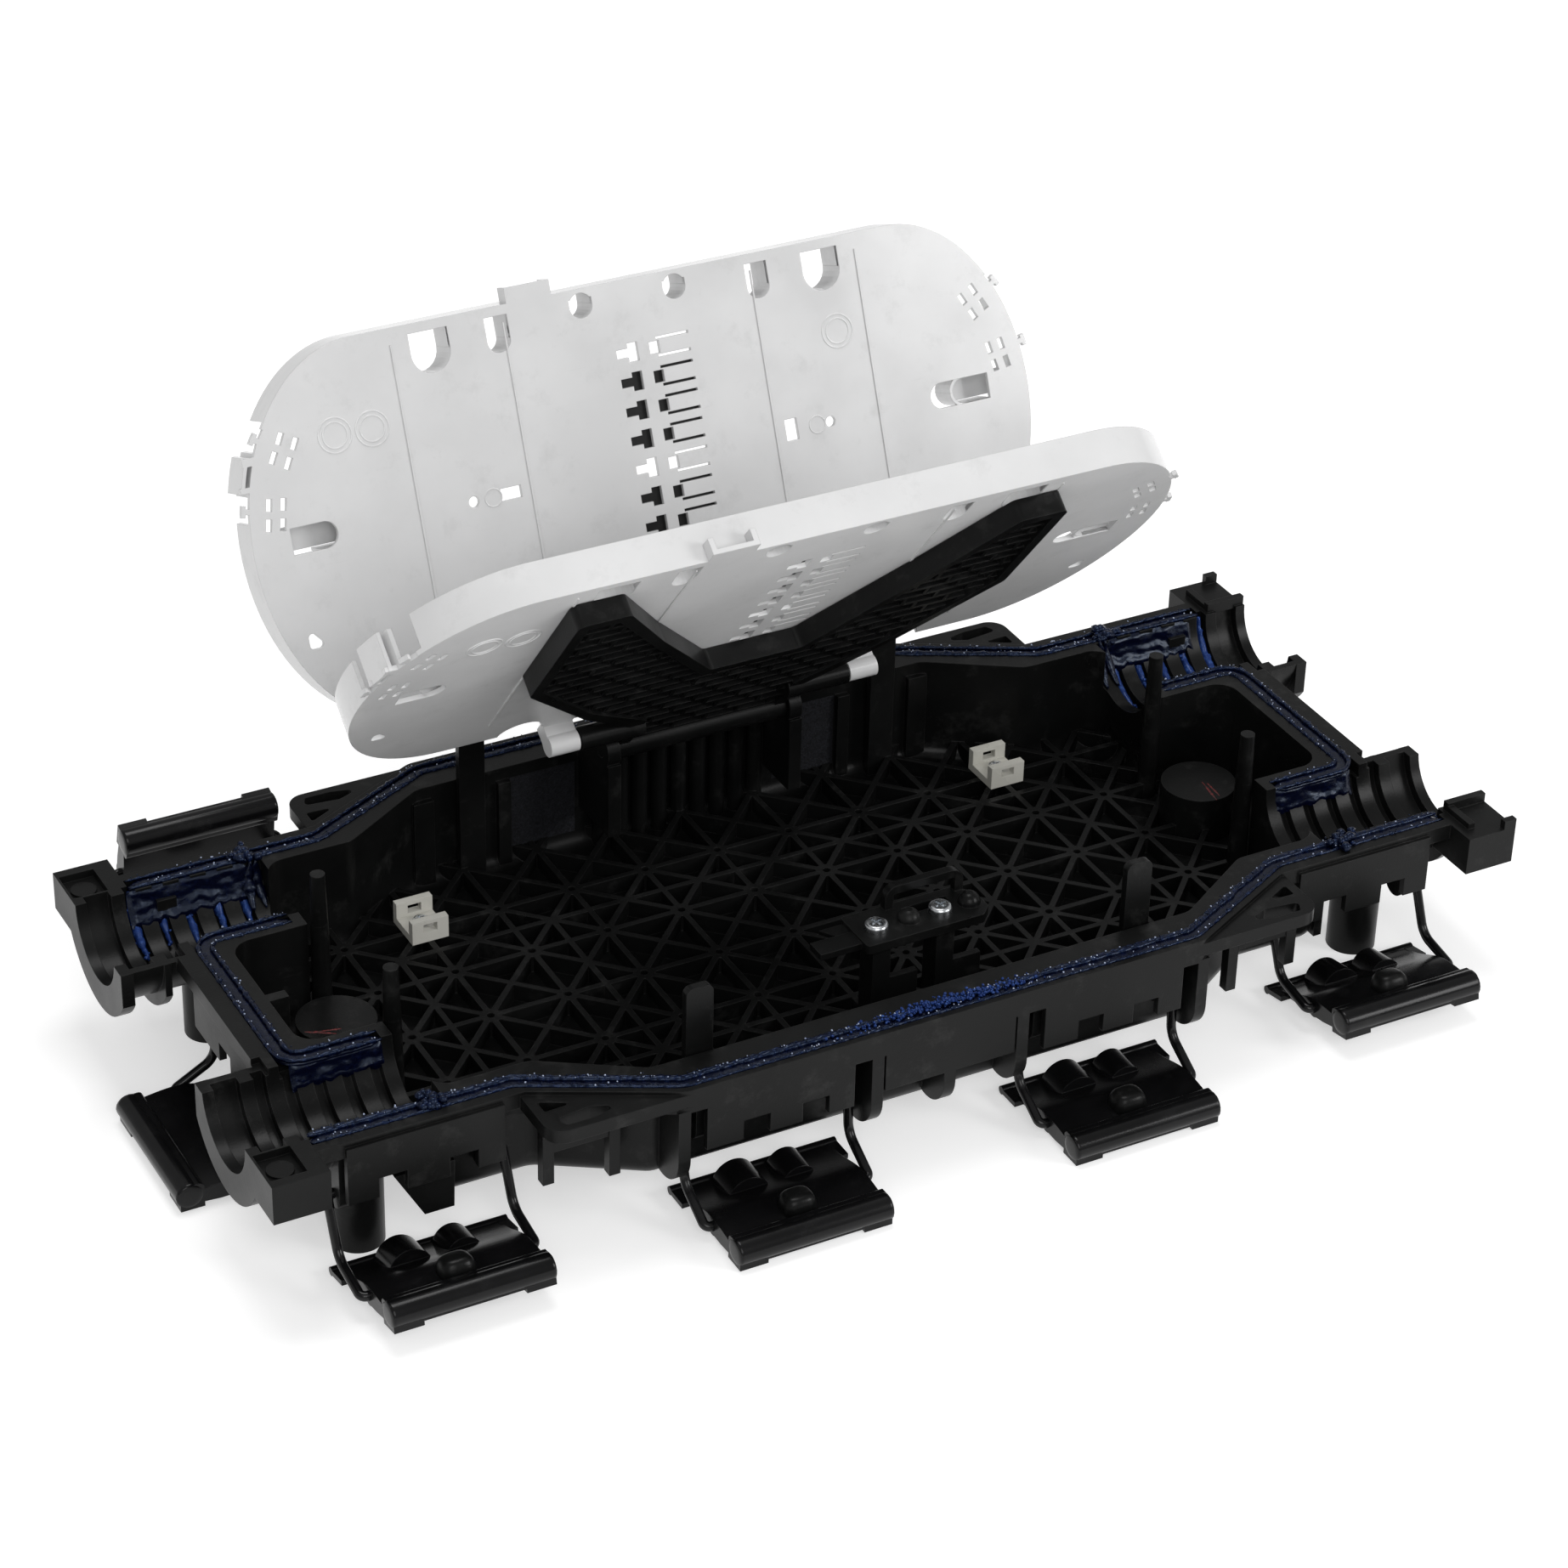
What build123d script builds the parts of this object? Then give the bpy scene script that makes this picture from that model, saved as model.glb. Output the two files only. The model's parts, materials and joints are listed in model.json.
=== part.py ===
"""Inline splice closure, opened: lower shell, gel seals, tray carrier, splice trays, latches.

Sizes are in millimetres. X runs along the closure, +Y points to the tray hinge and +Z up.
The origin is the middle of the closure's underside, on the surface that its feet stand on.
"""
from build123d import *
from math import cos, radians, sin
import os

# Overall sizes of the lower shell
shell_half_length = 239.0
block_half_width = 100.0
rim_height = 57.5
wall = 3.2

# Basin, seen from above
basin_half_x = 172.0
basin_mid_half_y = 94.5
basin_end_half_y = 73.5
bend_start_x = 104.0
bend_end_x = 138.0
bay_half_x = 201.0
bay_half_y = 32.0
corner_radius = 8.0
bottom_radius = 7.0
cove_radius = 5.5
stub_length = 7.0
stub_y = (-5.0, -1.0)
stub_drop = 12.0

# Floor lattice
rib_top_depth = 34.5
rib_height = 6.5
floor_thickness = 2.5
lattice_pitch = 29.6
rib_width = 2.2
hub_radius = 3.9
hub_hole_radius = 1.4

# Rim flange and gel groove
flange_thickness = 9.0
flange_half_x = 148.0
flange_half_y = 112.0
seal_mid_y = 106.5
seal_end_y = 81.4
seal_bend_start_x = 98.0
seal_bend_end_x = 148.0
seal_width = 6.6
groove_depth = 5.0
gel_crown = 1.2
bulkhead_seal_x = 209.0
bulkhead_seal_y = 38.5
bulkhead_half_x = 216.0
bulkhead_half_y = 44.0

# Shoulder ears
ear_drop = 1.5
ear_thickness = 5.0
ear_corner_radius = 7.0

# Cable ports, two at each end
port_y = 58.7
port_start_x = 172.0
port_radius = 18.6
port_groove_radius = 22.3
port_wall_radius = 25.0
port_fin_radius = 29.5
port_flange_half_y = 88.5
port_pitch = 11.0
port_land = 5.8
port_grooves = 5
inner_wall_drop = 2.5

# Corner blocks
block_length = 20.0
block_height = 14.6
block_inner_y = 78.0
socket_depth = 3.0
socket_wall = 3.6
key_height = 3.5
key_wall = 2.6

# Skirts outside the rim
skirt_thickness = 2.6
skirt_drop = 26.0
middle_skirt_half_x = 25.0
port_skirt_half_x = 27.75
port_skirt_face_y = 90.0
notch_height = 7.5
notch_width = 10.0
fin_x = (0.0, 28.0, 100.0)
fin_half_thickness = 2.25
fin_radius = 11.8
fin_drop = 40.0
gusset_outline = ((10.6, 20.0), (0.3, 38.5), (-10.2, 38.5), (-10.7, 20.0))

# Feet
foot_x = 197.0
foot_y = 66.0
foot_radius = 9.0
foot_hole_radius = 2.1
foot_hole_depth = 12.0

# Posts, guide tabs and pedestals in the basin
post_x = 171.0
post_inset = 4.0
post_y = 31.0
post_rise = 20.0
post_radius = 2.6
post_root_radius = 3.8
tab_x = 84.5
tab_rise = 24.0
tab_width = 10.0
tab_thickness = 3.0
tab_round = 2.8
pedestal_x = 173.5
pedestal_y = 5.0
pedestal_radius = 14.0
pedestal_drop = 22.0

# Cable tie mounts on the floor
tie_x = 4.0 * lattice_pitch
tie_y = 2.0 * lattice_pitch
tie_length = 17.0
tie_width = 14.0
tie_base = 3.0
tie_height = 9.0
tie_screw_radius = 1.5
tie_screw_head = 3.0

# Clamp bracket in the middle of the front wall
clamp_x = (-6.0, 44.0)
clamp_y = (-64.0, -44.0)
clamp_thickness = 3.5
clamp_drop = 0.5
clamp_screw_x = (2.3, 27.5)
clamp_screw_y = -55.0
clamp_screw_radius = 2.0
clamp_head_radius = 4.2
clamp_head_height = 2.4
clamp_dome_x = (15.0, 39.0)
tongue_length = 16.0
tongue_width = 8.0
loop_x = (10.0, 41.0)
loop_rise = 9.0
loop_bar = 3.2
post_block_x = 7.0
post_block_y = 9.0
post_foot_x = 18.0
post_foot_rise = 15.0

# Latches: a kinked wire bail in two lugs, and a lever that turns on its crossbar
wire_radius = 1.7
running_gap = 0.06
bail_half_width = 31.0
bail_upper = 22.0
bail_lower = 18.0
bail_kink = 57.0
bail_bend = 4.0
bail_pin = 5.0
lug_thickness = 7.0
lug_radius = 5.2
lug_gap = 0.6
lever_half_length = 28.5
lever_bar_reach = 16.0
lever_bar_width = 8.6
lever_bar_height = 8.2
lever_bar_rise = 1.0
lever_tail_reach = 26.0
lever_plate = 2.6
lever_barrel = 3.5
lever_pad_length = 10.5
lever_pad_drop = 1.5
lever_wing = 3.0
lever_lobe_radius = 8.0
lever_bump_radius = 6.5
lever_closed = 12.0
lever_open = 60.0
side_latch_x = 64.25
side_hinge_y = 101.0
side_hinge_z = 35.5
port_latch_x = 181.75
port_hinge_y = 79.5
port_hinge_z = 32.0
end_hinge_x = 207.0

# Tray hinge: the carrier turns on the shell, each tray on the piece below it
hinge_y = 76.0
hinge_rise = 10.0
carrier_angle = 50.6
tray_angle = 62.2
tray_reach = 91.6
tray_lift = 6.7
hinge_pin_radius = 3.0
hinge_barrel_radius = 5.0
hinge_half_width = 34.0
hinge_lug = 5.0
pilasters = ((67.5, 72.5), (98.0, 106.0))
pilaster_depth = 2.5

# Splice tray
tray_half_y = 68.0
tray_straight_x = 106.0
tray_end_x = 49.0
tray_floor = 1.8
tray_rim = 14.0
tray_rim_wall = 1.6
tray_pitch = 16.0
tray_pin_back = 4.8
tray_pin_drop = 6.4
tray_pin_radius = 2.5
tray_barrel_radius = 4.4
tray_barrel_x = (42.0, 54.0)
tray_arm_x = (54.6, 66.0)
tie_slots = ((138.0, 38.3, 28), (133.0, 35.5, 28), (141.5, 32.2, 28), (136.5, 29.3, 28),
             (146.2, 16.5, 12), (141.0, 15.8, 12), (147.6, 9.6, 12), (142.4, 8.9, 12))
tie_slot_width = 2.2
tie_slot_length = 4.4
splice_rows = 8
splice_pitch = 10.5
splice_first = 42.0
splice_rows_per_holder = 3

# Tray carrier plate
carrier_thickness = 8.0
carrier_skin = 2.0
carrier_edge = 4.5
carrier_rib = 1.6
carrier_cell_x = 13.0
carrier_cell_y = 6.5

# Derived heights and places
rib_top = rim_height - rib_top_depth
floor_top = rib_top - rib_height
floor_bottom = floor_top - floor_thickness
flange_bottom = rim_height - flange_thickness
hinge_z = rim_height + hinge_rise
SIDES = (-1, 1)


def box(x_range, y_range, z_range):
    """A box between two corners, given as ranges along X, Y and Z."""
    x0, x1 = sorted(x_range)
    y0, y1 = sorted(y_range)
    z0, z1 = sorted(z_range)
    return Pos((x0 + x1) / 2, (y0 + y1) / 2, (z0 + z1) / 2) * Box(x1 - x0, y1 - y0, z1 - z0)


def prism(points, low, high, radius=0.0):
    """A closed outline in plan, with its corners rounded, raised from low to high."""
    path = FilletPolyline(*points, radius=radius, close=True) if radius else Polyline(*points, close=True)
    return Pos(0, 0, low) * extrude(make_face(path), high - low)


def post(x, y, low, high, radius, top_radius=None):
    """An upright round post, straight or tapered."""
    if top_radius is None:
        return Pos(x, y, (low + high) / 2) * Cylinder(radius, high - low)
    return Pos(x, y, (low + high) / 2) * Cone(radius, top_radius, high - low)


def rod_x(radius, x0, x1, y, z):
    """A round rod along X between x0 and x1."""
    return Pos((x0 + x1) / 2, y, z) * Rot(0, 90, 0) * Cylinder(radius, abs(x1 - x0))


def mirrored(points):
    """A quarter outline, from the +Y axis to the +X axis, carried round all four quarters."""
    right = points + [(x, -y) for x, y in reversed(points)]
    return right + [(-x, y) for x, y in reversed(right)]


def four(make):
    """One solid for each quarter of the shell."""
    return [make(sx, sy) for sx in SIDES for sy in SIDES]


# Lower shell

def basin_outline(grow=0.0):
    """The basin in plan: wide in the middle, with S-bends down to the ports."""
    return mirrored([
        (bend_start_x + 0.3 * grow, basin_mid_half_y + grow),
        (bend_end_x + 0.3 * grow, basin_end_half_y + grow),
        (basin_half_x + grow, basin_end_half_y + grow),
    ])


def basin_solid(low, grow=0.0):
    """The basin and its two end bays as one upright solid."""
    main = prism(basin_outline(grow), low, rim_height, corner_radius)
    reach = bay_half_x + grow
    side = bay_half_y + grow
    bay = prism([(-reach, -side), (reach, -side), (reach, side), (-reach, side)],
                low, rim_height, corner_radius)
    return main + bay


def lattice():
    """Triangulated ribs with round hubs, standing on the floor plate."""
    half = 0.5 * lattice_pitch
    columns = range(-5, 6)
    rows = range(-2, 3)
    length = 2 * basin_half_x
    bars = [Pos(i * lattice_pitch, 0) * Rectangle(rib_width, length) for i in columns]
    bars += [Pos(0, j * lattice_pitch) * Rectangle(length, rib_width) for j in rows]
    for m in range(-8, 9):
        for turn in (45, -45):
            bars.append(Pos(m * lattice_pitch, 0) * Rot(0, 0, turn) * Rectangle(2 * length, rib_width))
    for s in SIDES:
        bars.append(Pos(s * 9 * half, 0) * Rectangle(rib_width, 6 * half))
        bars.append(Pos(0, s * 3 * half) * Rectangle(18 * half, rib_width))
        bars.append(Pos(s * 5 * half, 0) * Rectangle(rib_width, 6 * half))
    hubs = [Pos(i * lattice_pitch, j * lattice_pitch) * Circle(hub_radius) for i in columns for j in rows]
    ribs = Sketch() + bars + hubs
    holes = [Pos(i * lattice_pitch, j * lattice_pitch) * Circle(hub_hole_radius)
             for i in columns for j in rows]
    ribs -= holes
    outline = make_face(FilletPolyline(*basin_outline(), radius=corner_radius, close=True))
    return Pos(0, 0, floor_top) * extrude(ribs & outline, rib_height)


def rim_flange():
    """The flange round the basin and the ports, with the shoulder ears beside the S-bends."""
    low = flange_bottom
    edge = shell_half_length - block_length
    seal = seal_outline(seal_width / 2 + 2.2)
    ring = prism(seal, low, rim_height, corner_radius)
    ring &= box((-port_start_x, port_start_x), (-flange_half_y, flange_half_y), (low, rim_height))
    ring += box((-bulkhead_half_x, bulkhead_half_x), (-bulkhead_half_y, bulkhead_half_y), (low, rim_height))
    ring += box((-edge, edge), (-port_flange_half_y, port_flange_half_y), (low + 3, rim_height))
    top = rim_height - ear_drop
    ear = prism([(-flange_half_x, -flange_half_y), (flange_half_x, -flange_half_y),
                 (flange_half_x, flange_half_y), (-flange_half_x, flange_half_y)],
                top - ear_thickness, top, ear_corner_radius)
    return ring + ear


def seal_outline(grow=0.0):
    """The line of the gel groove round the basin, moved outwards by grow."""
    return mirrored([
        (seal_bend_start_x + 0.25 * grow, seal_mid_y + grow),
        (seal_bend_end_x + 0.25 * grow, seal_end_y + grow),
        (2 * shell_half_length, seal_end_y + grow),
    ])


def ear_holes():
    """A teardrop hole and a small triangular hole through each ear."""
    low = rim_height - ear_drop - ear_thickness - 1
    cuts = []
    for sx in SIDES:
        for sy in SIDES:
            drop = [(143, 104.5), (141, 109), (131, 109), (121, 106.5), (130, 103)]
            tri = [(144.5, 99.5), (144.5, 93.5), (134, 99)]
            for points, radius in ((drop, 1.4), (tri, 0.8)):
                points = [(sx * x, sy * y) for x, y in points]
                cuts.append(prism(points, low, rim_height + 1, radius))
    return cuts


def port_body(sx, sy):
    """The outside of one half-round port, with its fins and its end ring."""
    y = sy * port_y
    start = sx * (port_start_x - 2)
    body = rod_x(port_wall_radius, start, sx * shell_half_length, y, rim_height)
    for k in range(1, 4):
        x = sx * (shell_half_length - k * 2 * port_pitch + 4)
        body += rod_x(port_fin_radius, x, x + sx * 2.5, y, rim_height)
    end = sx * (shell_half_length - 4.5)
    body += rod_x(port_fin_radius, end, sx * shell_half_length, y, rim_height)
    inside = sy * (port_y - port_wall_radius)
    keep = box((start, sx * shell_half_length), (inside, sy * 130), (rim_height - 40, rim_height))
    return body & keep


def port_trough(sx, sy):
    """The hollow of one port: a smooth bore, a wide first bay and a row of gel grooves."""
    y = sy * port_y
    tools = [rod_x(port_radius, sx * (port_start_x - 1), sx * (shell_half_length + 1), y, rim_height)]
    bay = sx * (shell_half_length - 4)
    tools.append(rod_x(port_groove_radius, bay, bay - sx * 9, y, rim_height))
    for k in range(port_grooves):
        x = sx * (port_start_x + 5 + k * (port_pitch - 1))
        tools.append(rod_x(port_groove_radius, x, x + sx * (port_pitch - 1 - port_land), y, rim_height))
    return tools


def corner_block(sx, sy):
    """The keyed block beside each port's mouth."""
    x = (sx * (shell_half_length - block_length), sx * shell_half_length)
    return box(x, (sy * block_inner_y, sy * block_half_width), (rim_height - block_height, rim_height))


def block_socket(sy):
    """The square socket in a left-hand block, cut round a low boss."""
    x0 = -shell_half_length + 0.8
    x1 = -shell_half_length + block_length - 6.5
    y0 = block_inner_y + socket_wall
    y1 = block_half_width - socket_wall
    low = rim_height - socket_depth
    pocket = box((x0, x1), (sy * y0, sy * y1), (low, rim_height + 1))
    boss = post((x0 + x1) / 2, sy * (y0 + y1) / 2, low, low + 0.8, 4.6)
    return pocket - boss


def block_key(sy):
    """The raised L-shaped key on a right-hand block, which fits a socket in the cover."""
    x0 = shell_half_length - block_length + socket_wall
    x1 = shell_half_length
    y0 = block_inner_y + 0.4
    y1 = block_half_width
    top = rim_height + key_height
    inner = box((x0, x1), (sy * y0, sy * (y0 + key_wall)), (rim_height - 1, top))
    side = box((x1 - 5, x1), (sy * (y1 - key_wall), sy * y1), (rim_height - 1, top))
    back = box((x0, x0 + key_wall), (sy * y0, sy * (y1 - 6)), (rim_height - 1, top - 1.2))
    return [inner, side, back]


def skirt(x_mid, half, face_y, sy, drop, notches):
    """An outer skirt plate along X under the flange, with notches in its lower edge."""
    low = rim_height - drop
    inner = sy * (face_y - skirt_thickness)
    plate = box((x_mid - half, x_mid + half), (inner, sy * face_y), (low, rim_height - 2))
    for x in notches:
        cut_x = (x_mid + x - notch_width / 2, x_mid + x + notch_width / 2)
        plate -= box(cut_x, (inner - 3 * sy, sy * (face_y + 3)), (low - 1, low + notch_height))
    return plate


def side_skirts(sy):
    """Three plates along the middle of one long side, and the round-ended fins between them."""
    plates = [skirt(0, middle_skirt_half_x, flange_half_y, sy, skirt_drop - 2.5, ())]
    for sx in SIDES:
        plates.append(skirt(sx * side_latch_x, 27.5, flange_half_y, sy, skirt_drop, (-9.0, 13.0)))
    inner = basin_mid_half_y + wall - 0.5
    low = rim_height - fin_drop
    middle = low + fin_radius
    fins = []
    for x in sorted({s * x for s in SIDES for x in fin_x}):
        x0, x1 = x - fin_half_thickness, x + fin_half_thickness
        outside = box((x0, x1), (sy * inner, sy * flange_half_y), (low, flange_bottom + 1))
        fin = box((x0, x1), (sy * inner, sy * flange_half_y), (middle, flange_bottom + 1))
        fin += rod_x(fin_radius, x0, x1, sy * (flange_half_y - fin_radius), middle)
        fins.append(fin & outside)
    return plates + fins


def port_skirts(sx, sy):
    """The skirt beside a port, and the pegs under the ear."""
    plate = skirt(sx * port_latch_x, port_skirt_half_x, port_skirt_face_y, sy, 24.0, (13.0, -12.0))
    face = sy * (port_skirt_face_y - skirt_thickness)
    plate += box((sx * (port_latch_x - port_skirt_half_x), sx * (port_latch_x + port_skirt_half_x)),
                 (face, sy * port_skirt_face_y), (rim_height - 4, rim_height - 2))
    pegs = [box((sx * (x - 2), sx * (x + 2)), (sy * 97, sy * 101), (rim_height - drop, rim_height - 4))
            for x, drop in ((144.0, 30.0), (120.0, 34.0))]
    web = box((sx * 118, sx * 146), (sy * 98, sy * 100.5), (rim_height - 18, rim_height - 4))
    pieces = [plate, web] + pegs
    if sx < 0:
        points = [(sx * (port_latch_x + x), rim_height - drop) for x, drop in gusset_outline]
        gusset = extrude(make_face(Polyline(*points, close=True)), skirt_thickness / 2, both=True)
        pieces.append(Pos(0, face - sy * skirt_thickness / 2, 0) * Rot(90, 0, 0) * gusset)
    return pieces


def feet():
    """Four round feet under the ports, each with a blind pilot hole."""
    solids = []
    for sx in SIDES:
        for sy in SIDES:
            foot = post(sx * foot_x, sy * foot_y, 0, rim_height - 22, foot_radius)
            foot -= post(sx * foot_x, sy * foot_y, -1, foot_hole_depth, foot_hole_radius)
            solids.append(foot)
    return solids


def basin_posts():
    """Slim posts at the ends, guide tabs on the long walls and two round pedestals."""
    solids = []
    for sx in SIDES:
        x = sx * (basin_half_x - post_inset)
        for sy in SIDES:
            top = rim_height + post_rise
            solids.append(post(x, sy * post_y, floor_top, rim_height, post_root_radius, 3.1))
            solids.append(post(x, sy * post_y, rim_height - 1, top, 3.1, post_radius))
            y0 = basin_mid_half_y - 6.0
            tab = box((sx * tab_x - tab_width / 2, sx * tab_x + tab_width / 2),
                      (sy * y0, sy * (y0 + tab_thickness)), (floor_top, rim_height + tab_rise))
            tab = fillet(tab.edges().filter_by(Axis.Y).group_by(Axis.Z)[-1], tab_round)
            brace = box((sx * tab_x - 1.5, sx * tab_x + 1.5),
                        (sy * (y0 + tab_thickness - 0.5), sy * (basin_mid_half_y + 1)),
                        (floor_top, rim_height - 4))
            solids += [tab, brace]
        solids.append(post(sx * pedestal_x, pedestal_y, floor_top, rim_height - pedestal_drop, pedestal_radius))
    solids.append(box((-bay_half_x - 0.5, -bay_half_x + stub_length), stub_y,
                      (rim_height - stub_drop, rim_height)))
    return solids


def hinge_tower():
    """Corrugated uprights on the back wall, and the two lugs that carry the carrier hinge."""
    back = basin_mid_half_y + 1
    solids = []
    for k in range(9):
        x = -hinge_half_width + 2 + k * (2 * hinge_half_width - 4) / 8
        solids.append(post(x, basin_mid_half_y - 3, floor_top, rim_height - 3, 3.0))
        solids.append(box((x - 1.2, x + 1.2), (basin_mid_half_y - 3, back), (floor_top, rim_height - 3)))
    for s in SIDES:
        x = (s * (hinge_half_width + 0.5), s * (hinge_half_width + 0.5 + hinge_lug))
        lug = box(x, (hinge_y, back), (rim_height - 24, hinge_z))
        lug += rod_x(hinge_barrel_radius + 2, *x, hinge_y, hinge_z)
        lug += box(x, (hinge_y - 7, back), (rim_height - 24, hinge_z - 4))
        lug -= rod_x(hinge_pin_radius + running_gap, x[0] - s, x[1] + s, hinge_y, hinge_z)
        solids.append(lug)
    for s in SIDES:
        for x0, x1 in pilasters:
            solids.append(box((s * x0, s * x1), (basin_mid_half_y - pilaster_depth, back),
                              (floor_top, rim_height - 5)))
    return solids


def clamp_posts():
    """Two posts with L-shaped feet under the clamp bracket."""
    top = rim_height - clamp_drop - clamp_thickness
    solids = []
    for x in clamp_screw_x:
        y = clamp_screw_y
        block = box((x - post_block_x / 2, x + post_block_x / 2),
                    (y - post_block_y / 2, y + post_block_y / 2), (floor_top, top))
        foot = box((x - post_block_x / 2, x - post_block_x / 2 + post_foot_x),
                   (y - post_block_y / 2, y - post_block_y / 2 + 2.5), (floor_top, rib_top + post_foot_rise))
        block -= post(x, y, top - 12, top + 1, clamp_screw_radius)
        solids += [block, foot]
    return solids


def latch_lugs(latch):
    """Two lugs with blind holes for the bail's pins, hanging under the flange."""
    solids = []
    for s in SIDES:
        x = s * (bail_half_width - wire_radius - lug_gap - lug_thickness / 2)
        lug = Pos(x, 0, 0) * Rot(0, 90, 0) * Cylinder(lug_radius, lug_thickness)
        lug += Pos(x, 0, latch["stem"] / 2) * Box(lug_thickness, 2 * lug_radius, latch["stem"])
        depth = bail_pin + 0.4
        hole_x = s * (bail_half_width - wire_radius - lug_gap) - s * depth / 2
        lug -= Pos(hole_x + s * 0.5, 0, 0) * Rot(0, 90, 0) * Cylinder(wire_radius + running_gap, depth + 1)
        solids.append(latch_frame(latch) * lug)
    return solids


def groove_tools():
    """The gel groove: a closed track round the basin, and a bracket-shaped track at each end."""
    low = rim_height - groove_depth
    tools = []
    outer = make_face(FilletPolyline(*seal_outline(seal_width / 2), radius=corner_radius + 4, close=True))
    inner = make_face(FilletPolyline(*seal_outline(-seal_width / 2), radius=corner_radius + 4, close=True))
    track = Pos(0, 0, low) * extrude(outer - inner, groove_depth + 1)
    reach = shell_half_length - block_length
    for sy in SIDES:
        tools.append(track & box((-reach, reach), (sy * 60, sy * 120), (low, rim_height + 1)))
    for sx in SIDES:
        tools.append(end_track(sx, low, rim_height + 1))
    return tools


def end_track(sx, low, high):
    """The groove over one end bulkhead, returning along both port walls."""
    half = seal_width / 2
    x_in = port_start_x + 4
    points = []
    for grow in (half, -half):
        x = bulkhead_seal_x + grow
        y = bulkhead_seal_y + grow
        points.append([(sx * x_in, sx * y), (sx * x, sx * y), (sx * x, -sx * y), (sx * x_in, -sx * y)])
    outline = points[0] + list(reversed(points[1]))
    return prism(outline, low, high)


def base_shell():
    shell = basin_solid(floor_bottom, wall)
    edges = shell.edges().group_by(Axis.Z)[0]
    shell = fillet(edges, bottom_radius)
    shell += rim_flange()
    shell += [p for p in four(port_body)] + [b for b in four(corner_block)] + feet()
    for sx in SIDES:
        for sy in SIDES:
            web_y = (sy * (bay_half_y + 1), sy * (basin_end_half_y + wall))
            shell += box((sx * basin_half_x, sx * (basin_half_x + wall)), web_y, (floor_bottom + 2, rim_height))
            shell += port_skirts(sx, sy)
    for sy in SIDES:
        shell += side_skirts(sy)
    for sx in SIDES:
        shell += end_skirt(sx)
    cavity = basin_solid(floor_top)
    cavity = fillet(cavity.edges().group_by(Axis.Z)[0], cove_radius)
    cuts = [cavity] + ear_holes() + groove_tools()
    for sx in SIDES:
        for sy in SIDES:
            cuts += port_trough(sx, sy)
            top = box((sx * (bulkhead_half_x), sx * (shell_half_length + 1)),
                      (sy * (port_y - port_wall_radius - 1), sy * port_y), (rim_height - inner_wall_drop, rim_height + 1))
            cuts.append(top)
    cuts += [block_socket(sy) for sy in SIDES]
    shell -= cuts
    for sy in SIDES:
        shell += block_key(sy)
    shell += [lattice()] + basin_posts() + hinge_tower() + clamp_posts()
    for latch in LATCHES:
        shell += latch_lugs(latch)
    return shell


def end_skirt(sx):
    """The outer plate under the end bulkhead, narrower than the latch over it."""
    x = (sx * (bulkhead_half_x - skirt_thickness), sx * bulkhead_half_x)
    low = rim_height - skirt_drop
    plate = box(x, (-27.5, 27.5), (low, flange_bottom + 1))
    return plate - box((x[0] - 3, x[1] + 3), (-5, 5), (low - 1, low + notch_height))


# Gel seals

def long_gel(sy):
    """The gel along one long side, from port to port."""
    low = rim_height - groove_depth
    high = rim_height + gel_crown
    outer = make_face(FilletPolyline(*seal_outline(seal_width / 2), radius=corner_radius + 4, close=True))
    inner = make_face(FilletPolyline(*seal_outline(-seal_width / 2), radius=corner_radius + 4, close=True))
    valley_out = make_face(FilletPolyline(*seal_outline(0.7), radius=corner_radius + 4, close=True))
    valley_in = make_face(FilletPolyline(*seal_outline(-0.7), radius=corner_radius + 4, close=True))
    reach = shell_half_length - block_length
    side = box((-reach, reach), (sy * 60, sy * 120), (low, high + 1))
    gel = Pos(0, 0, low) * extrude(outer - inner, high - low)
    gel -= Pos(0, 0, rim_height - 0.8) * extrude(valley_out - valley_in, 5)
    return gel & side


def end_gel(sx):
    """The gel over one end bulkhead."""
    return end_track(sx, rim_height - groove_depth, rim_height + gel_crown)


# Tie mounts and clamp

def tie_mount(sx):
    """A saddle for a cable tie, screwed to a hub of the floor lattice."""
    x = sx * tie_x
    base = box((x - tie_width / 2, x + tie_width / 2), (tie_y - tie_length / 2, tie_y + tie_length / 2),
               (rib_top, rib_top + tie_base))
    for sy in SIDES:
        y0 = tie_y + sy * (tie_length / 2 - 3)
        y1 = tie_y + sy * tie_length / 2
        wall_part = box((x - tie_width / 2, x + tie_width / 2), (y0, y1), (rib_top, rib_top + tie_height))
        wall_part -= box((x - 2.6, x + 2.6), (y0 - sy, y1 + sy), (rib_top + tie_base + 1.2, rib_top + tie_height - 1.6))
        base += wall_part
    base -= post(x, tie_y, rib_top - 1, rib_top + tie_base + 1, tie_screw_radius)
    return base


def screw(x, y, seat, head_radius, head_height, radius, length):
    """A pan-head screw with a cross recess."""
    head = post(x, y, seat, seat + head_height, head_radius)
    head = fillet(head.edges().group_by(Axis.Z)[-1], head_height * 0.55)
    for turn in (20, 110):
        head -= Pos(x, y, seat + head_height) * Rot(0, 0, turn) * Box(head_radius * 1.1, 0.9, head_height)
    return head + post(x, y, seat - length, seat + 0.1, radius)


def tie_screw(sx):
    """The screw of one tie mount, seated on the hub."""
    seat = rib_top + tie_base
    return screw(sx * tie_x, tie_y, seat, tie_screw_head, 1.8, tie_screw_radius - 0.15, tie_base)


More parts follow.
